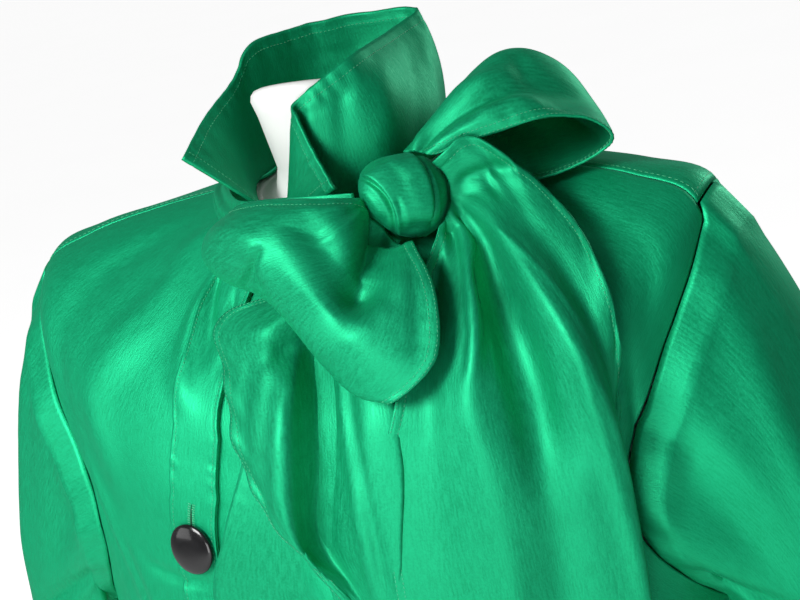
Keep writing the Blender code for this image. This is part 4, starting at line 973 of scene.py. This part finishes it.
def loop_of(rails, steps):
    """A loop's net: rails through their stops, its two layers held apart by a rooted sine."""
    stops = np.swapaxes(through(rails, np.linspace(0, len(rails) - 1, 9)), 0, 1)
    at = np.linspace(0, len(stops) - 1, steps)
    net = np.swapaxes(through(stops, at), 0, 1)
    returning = (at - LOOP_TURN) / (len(stops) - 1 - LOOP_TURN)
    swing = np.where(at < LOOP_TURN, np.sin(np.pi * at / LOOP_TURN), -np.sin(np.pi * returning))
    net[..., 2] += LOOP_OPEN * np.sign(swing) * np.sqrt(np.abs(swing))
    return seated(net)


turn = np.linspace(-180, 180, 145)
shell = shirt_at(turn[None, :], np.linspace(0, HEM_ROW, 97)[:, None])
r, c = np.meshgrid(np.arange(96), np.arange(144), indexing="ij")
corner = r * 145 + c
squares = np.stack([corner, corner + 1, corner + 146, corner + 145], -1).reshape(-1, 4)
shirt_tree = BVHTree.FromPolygons(shell.reshape(-1, 3).tolist(), squares.tolist())


def shirt_depth(net):
    """How far out the shirt lies behind each point of a coarse net, by a ray from the front."""
    start = bow_at(np.stack([net[..., 0], net[..., 1], 0.5 + 0 * net[..., 0]], -1)).reshape(-1, 3)
    hits = [shirt_tree.ray_cast(Vector(p), Vector(-OUT))[0] for p in start]
    return np.array([-1.0 if h is None else (np.array(h) - KNOT) @ OUT for h in hits]).reshape(net.shape[:2])


def raised(points, least):
    """Coarse points kept a least height above the shirt's shoulder."""
    flat = points.reshape(-1, 3).copy()
    hits = [shirt_tree.ray_cast(Vector((x, y, 2.0)), Vector((0, 0, -1)))[0] for x, y, _ in flat]
    floor = np.array([-1.0 if h is None else h[2] + least for h in hits])
    flat[:, 2] = np.maximum(flat[:, 2], floor)
    return flat.reshape(points.shape)


def creased(points, table, fade):
    """The cloth moved out along its normal by folds set out in the bow's own view: less where it
    turns edge on, by the root of its normal's share outwards."""
    local = (points - KNOT) @ np.array([ACROSS, UP, OUT]).T * 1000
    facing = normals(points)
    share = facing @ OUT
    height = folds(local[..., 0], local[..., 1], table) * np.sign(share) * np.sqrt(np.abs(share))
    return points + facing * (height * fade)[..., None]


def frills(points, sides, reach, height, length):
    """A loose edge: it lifts and falls in uneven sines that die away inside the cloth."""
    facing, total = normals(points), 0.0
    for side in sides:
        run = np.cumsum(np.linalg.norm(np.gradient(points, axis=1), axis=-1), 1)
        run = run - run[:, :1] if side == "left" else run[:, -1:] - run
        along = np.cumsum(np.linalg.norm(np.gradient(points, axis=0), axis=-1), 0)
        wave = np.sin(2 * np.pi * along / length + 1.7 * np.sin(along * 31)) + 0.4 * np.sin(along * 190)
        total = total + height * wave * np.exp(-(run / reach) ** 2)
    return points + facing * np.asarray(total)[..., None]


net = raised(bow_at(loop_of(LOOP_SHOULDER, 26)), 0.0030)
loop = np.swapaxes(finer(net, 71, 181), 0, 1)
at = np.linspace(0, 5, 181)[:, None]
loop = creased(loop, SHOULDER_FOLDS, ease((3.1 - at) / 0.6) + 0.35 * ease((at - 3.3) / 0.5))
loop = narrow_hem(loop, "left", "right")
lines = insets(loop, SCARF_HEM, "left", "right") + insets(loop, SCARF_EDGE, "left")
scarf_piece("loop_shoulder", "loop_left_shoulder", loop, lines, True, flat=(0.115, 0.290), area=0.0202, held="gathered",
            rests_on=[knot, yoke])

net = loop_of(LOOP_FRONT, 26)
net[..., 2] = np.maximum(net[..., 2], shirt_depth(net) + LOOP_FRONT_LIFT)
loop = np.swapaxes(finer(bow_at(net), 96, 151), 0, 1)
at = np.linspace(0, 5, 151)[:, None]
loop = creased(loop, FRONT_FOLDS, ease((3.2 - at) / 0.6) + 0.3 * ease((at - 3.3) / 0.5))
loop = narrow_hem(loop, "left", "right")
lines = insets(loop, SCARF_HEM, "left", "right") + insets(loop, SCARF_EDGE, "right")
scarf_piece("loop_front", "loop_front", loop, lines, True, flat=(0.213, 0.270), area=0.0282, held="gathered",
            rests_on=[knot, front_right])


# ---------------------------------------------------------------------------------------------
# The two tails: the scarf's ends, which leave the knot in tight gathers and fall in deep soft
# folds over the shirt. Each long edge has a 6 mm double-stitched hem that curls where it is free.

TAIL_SIDE = np.array([
    # left hem, valley, pleat, dark valley, ridge, behind the ridge, right hem: (across, up, lift)
    ((21, -19, 33), (26, -15, 33), (29, -9, 35), (30, -4, 35), (30, 1, 37), (28, 9, 40), (18, 22, 45)),
    ((16, -33, 28), (27, -31, 26), (37, -25, 34), (43, -18, 30), (48, -9, 38), (50, 8, 42), (38, 35, 52)),
    ((8, -55, 22), (22, -54, 18), (39, -47, 32), (52, -42, 19), (62, -34, 35), (70, -14, 32), (68, 19, 47)),
    ((1, -88, 17), (18, -88, 14), (38, -85, 29), (60, -82, 14), (84, -70, 33), (95, -52, 19), (101, -17, 24)),
    ((-6, -126, 18), (16, -126, 14), (38, -126, 26), (72, -126, 15), (108, -112, 31), (114, -96, 17),
     (121, -68, 17)),
    ((-12, -165, 16), (18, -166, 13), (48, -168, 22), (84, -168, 16), (126, -156, 25), (122, -138, 13),
     (124, -118, 9)),
    ((-5, -243, 16), (30, -244, 12), (66, -246, 19), (100, -246, 13), (144, -240, 19), (134, -226, 9),
     (120, -205, 6)),
    ((27, -400, 20), (62, -405, 12), (98, -410, 22), (134, -412, 13), (176, -412, 20), (164, -400, 10),
     (148, -385, 6)),
]) / 1000
TAIL_FRONT = np.array([
    # upper hem, upper middle, valley, ridge, fold, under middle, under hem
    ((-20, -20, 24), (-16, -23, 22), (-12, -26, 22), (-8, -28, 22), (-3, -30, 20), (-8, -27, 14), (-14, -23, 12)),
    ((-70, -54, 22), (-54, -56, 22), (-42, -58, 15), (-28, -58, 19), (-16, -56, 16), (-32, -54, 7), (-50, -50, 6)),
    ((-118, -77, 18), (-84, -84, 28), (-54, -90, 5), (-30, -90, 18), (-16, -88, 14), (-54, -84, 3), (-84, -78, 4)),
    ((-112, -112, 18), (-78, -118, 29), (-49, -122, 4), (-24, -124, 18), (-8, -124, 14), (-58, -122, 3),
     (-92, -118, 5)),
    ((-101, -163, 18), (-74, -164, 28), (-48, -164, 4), (-23, -165, 17), (-2, -166, 14), (-56, -166, 3),
     (-101, -164, 6)),
    ((-66, -215, 20), (-63, -214, 24), (-48, -213, 5), (-23, -212, 16), (-3, -212, 14), (-58, -213, 3),
     (-114, -212, 12)),
    ((-22, -266, 13), (-19, -265, 14), (-15, -264, 14), (-9, -262, 15), (-1, -260, 14), (-50, -264, 4),
     (-121, -262, 11)),
    ((14, -366, 13), (17, -366, 14), (20, -366, 15), (23, -366, 15), (27, -366, 11), (-26, -360, 6), (-92, -348, 9)),
]) / 1000
SIDE_FOLDS = np.array([
    # from across, up, to across, up, bow, width, height
    (25, -1, 40, -104, 7, 4.2, 4.4), (22, -8, 33, -104, 5, 3.0, -3.6), (26, -2, 47, -90, 8, 3.4, -3.4),
    (24, -20, 18, -120, 4, 5.0, 1.4), (22, -22, 8, -110, 3, 4.0, -1.2), (25, -2, 82, -165, 10, 12, -12.0),
    (26, 0, 104, -96, 12, 7.0, 2.2), (98, -98, 146, -246, 2, 5.0, 2.0), (26, 4, 84, 14, 7, 5, -3.0),
    (50, -16, 101, -80, 3, 1.6, 0.9),
    (26, -130, 30, -250, 5, 16, 1.2), (60, -150, 70, -260, 4, 14, 1.2),
    (96, -160, 112, -270, 4, 13, 1.2), (30, -270, 50, -390, 5, 12, -2.2), (66, -280, 84, -400, 4, 13, 2.4),
    (104, -280, 122, -400, 4, 11, -2.0), (136, -270, 154, -400, 4, 10, 1.8),
])
FRONT_TAIL_FOLDS = np.array([
    (-52, -84, -56, -236, 1, 9.0, -3.0), (-68, -92, -73, -236, -3, 8.0, 5.5), (-40, -104, -16, -250, -2, 3.4, 2.0),
    (-35, -100, -9, -245, -2, 3.4, -1.6),
    (-54, -60, -96, -84, 4, 3.4, 1.0), (-50, -62, -88, -104, 5, 3.4, -1.2), (-84, -100, -90, -200, -4, 6, 1.2),
    (-96, -100, -92, -170, -4, 5, -1.2), (-22, -60, -26, -104, 3, 5, -2.0),
])
SIDE_FLOOR, FRONT_FLOOR = -0.030, -0.120


def tail_of(table, least, folds_here, rows, columns, single):
    """A tail: a coarse net laid over the shirt by rays, drawn tight on the knot, then made finer
    and creased over the share of its width that shows."""
    down = through(table, np.linspace(0, len(table) - 1, 20))
    net = through(np.swapaxes(down, 0, 1), np.linspace(0, table.shape[1] - 1, 13))
    net[..., 2] += np.maximum(shirt_depth(net), least)
    net = seated(net)
    net[:, 0] *= knot_reach(net[:, 0], KNOT_GAP)[:, None]
    points = np.swapaxes(finer(bow_at(net), columns, rows), 0, 1)
    fade = ease(np.linspace(0, 1, rows) / 0.06)[:, None] * ease((single - np.linspace(0, 1, columns)) / 0.06)
    return creased(points, folds_here, fade)


def tail_lines(points):
    """The hem's stitching lines of a tail, clear of the gathers at the knot."""
    clear = points[6:]
    return (insets(clear, SCARF_HEM, "left", "right") + insets(clear, SCARF_EDGE, "left")
            + insets(points, SCARF_HEM, "bottom"))


tail = frills(tail_of(TAIL_SIDE, SIDE_FLOOR, SIDE_FOLDS, 166, 114, 1.1), ("right",), 0.010, 0.0016, 0.060)
tail = narrow_hem(tail, "left", "right", "bottom")
scarf_piece("tail_side", "tail_left_side", tail, tail_lines(tail), False, flat=(0.201, 0.515), area=0.0749, held="hung",
            rests_on=[knot, front_left])
tail = frills(tail_of(TAIL_FRONT, FRONT_FLOOR, FRONT_TAIL_FOLDS, 160, 114, 0.70), ("left",), 0.010, 0.0012, 0.050)
tail = narrow_hem(tail, "left", "right", "bottom")
scarf_piece("tail_front", "tail_front", tail, tail_lines(tail), False, flat=(0.252, 0.468), area=0.0670, held="hung",
            rests_on=[knot, placket, front_left])


# ---------------------------------------------------------------------------------------------
# The buttons: large domed buttons in polished black resin, sewn on behind, and two small ones of
# the same pattern on the cuffs. Each is one profile turned round its own axis.

BUTTON_RADIUS, BUTTON_HEIGHT = 0.0172, 0.0058
resin, tree, shader = new_finish("Black resin", Roughness=0.16, Specular_IOR_Level=0.35, Coat_Weight=0.35,
                                 Coat_Roughness=0.05)
paint(tree, shader, blotch(tree, 50), (0.004, 0.004, 0.0045), (0.010, 0.010, 0.011))
polish(tree, shader, blotch(tree, 140, 4), 0.12, 0.24)
roughen(tree, shader, blotch(tree, 900, 2), 0.00004, 0.4)


def button(name, node, facing, size):
    """A button: a dome that meets a thin rounded rim, turned upright, laid on its facing direction."""
    arc = np.radians(np.linspace(89, 0, 16))
    profile = [(size * BUTTON_RADIUS * math.cos(a), size * BUTTON_HEIGHT * (0.35 + 0.65 * math.sin(a))) for a in arc]
    profile += [(size * BUTTON_RADIUS * r, size * BUTTON_HEIGHT * h)
                for r, h in ((0.998, 0.24), (0.985, 0.14), (0.95, 0.05), (0.90, 0.0), (0.02, 0.0))]
    low, high = (np.array(v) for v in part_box(node))
    turn_to = np.array(Vector(facing).to_track_quat("Z", "Y").to_matrix())
    points = turned(profile, 64) - (0, 0, size * BUTTON_HEIGHT / 2)
    return dress(name, (points @ turn_to.T + (low + high) / 2)[:, ::-1], resin, node, tube=True, ends=True)


for k, at in enumerate(BUTTON_ROWS):
    place = opening(at) - lap_angle(np.array(at)) / 2
    button(f"button_{k + 1}_resin", f"button_{k + 1}", shirt_normal(place, np.array(at)), 1.0)
for hand in ("left", "right"):
    button(f"cuff_button_{hand}_resin", f"cuff_button_{hand}", (0, -1, 0), 0.6)


# ---------------------------------------------------------------------------------------------
# The studio: a plain pale floor that brightens away from the stand, four soft boxes (the key above
# the camera's left, a low one in front, one behind and a weak one at the left), a pale backdrop
# that lights the shirt only a little, and the camera at the photograph's viewing angle.

floor_white, tree, shader = new_finish("Pale floor", Roughness=0.8, Emission_Strength=0.8)
paint(tree, shader, blotch(tree, 2), (0.86, 0.86, 0.86), (0.90, 0.90, 0.90))
place = add_node(tree, "ShaderNodeTexCoord").outputs["Object"]
from_stand = add_node(tree, "ShaderNodeVectorMath", {0: place}, operation="LENGTH").outputs["Value"]
far = add_node(tree, "ShaderNodeMapRange", {"Value": from_stand, "From Min": 0.3, "From Max": 1.8}).outputs[0]
seen = add_node(tree, "ShaderNodeLightPath").outputs["Is Camera Ray"]
glow = add_node(tree, "ShaderNodeMath", {0: far, 1: seen}, operation="MULTIPLY").outputs[0]
tree.links.new(glow, shader.inputs["Emission Color"])
floor_corners = [(-40, -20, 0), (40, -20, 0), (40, 60, 0), (-40, 60, 0)]
floor = new_object("studio_floor", floor_corners, [(0, 1, 2, 3)], floor_white)

world = bpy.data.worlds.new("Soft studio")
bpy.context.scene.world = world
world.use_nodes = True
backdrop = world.node_tree.nodes["Background"]
backdrop.inputs["Color"].default_value = (1.0, 1.0, 1.0, 1)
seen = add_node(world.node_tree, "ShaderNodeLightPath").outputs["Is Camera Ray"]
strength = add_node(world.node_tree, "ShaderNodeMapRange", {"Value": seen, "To Min": 0.18, "To Max": 0.95}).outputs[0]
world.node_tree.links.new(strength, backdrop.inputs["Strength"])
bpy.context.scene.view_settings.view_transform = "Standard"


def softbox(name, place, aim, size, power):
    """A square area light that faces its aim."""
    lamp = bpy.data.lights.new(name, "AREA")
    lamp.size, lamp.energy = size, power
    holder = bpy.data.objects.new(name, lamp)
    bpy.context.scene.collection.objects.link(holder)
    holder.location = place
    holder.rotation_euler = (Vector(aim) - Vector(place)).to_track_quat("-Z", "Y").to_euler()


for lamp_row in (
    # name, place, aim, size, power
    ("key", (-0.55, -1.65, 1.70), (0.0, -0.1, 0.80), 0.8, 40),
    ("low", (0.3, -1.9, 0.45), (0.05, -0.1, 0.70), 0.8, 11),
    ("rear", (0.9, 2.0, 1.5), (0.0, 0.0, 0.75), 0.9, 14),
    ("left", (-1.6, -1.2, 0.9), (0.0, 0.0, 0.85), 0.8, 4),
):
    softbox(*lamp_row)

AIM, DISTANCE = np.array([0.0233, -0.0079, 0.8054]), 1.25
LENS, SENSOR = 84.375, 36.0
camera = bpy.data.objects.new("photograph_view", bpy.data.cameras.new("photograph_view"))
bpy.context.scene.collection.objects.link(camera)
camera.data.lens, camera.data.sensor_width = LENS, SENSOR
turned_to = Matrix(np.stack([ACROSS, UP, OUT], 1).tolist()).to_4x4()
camera.matrix_world = Matrix.Translation(Vector(AIM + OUT * DISTANCE)) @ turned_to
bpy.context.scene.camera = camera
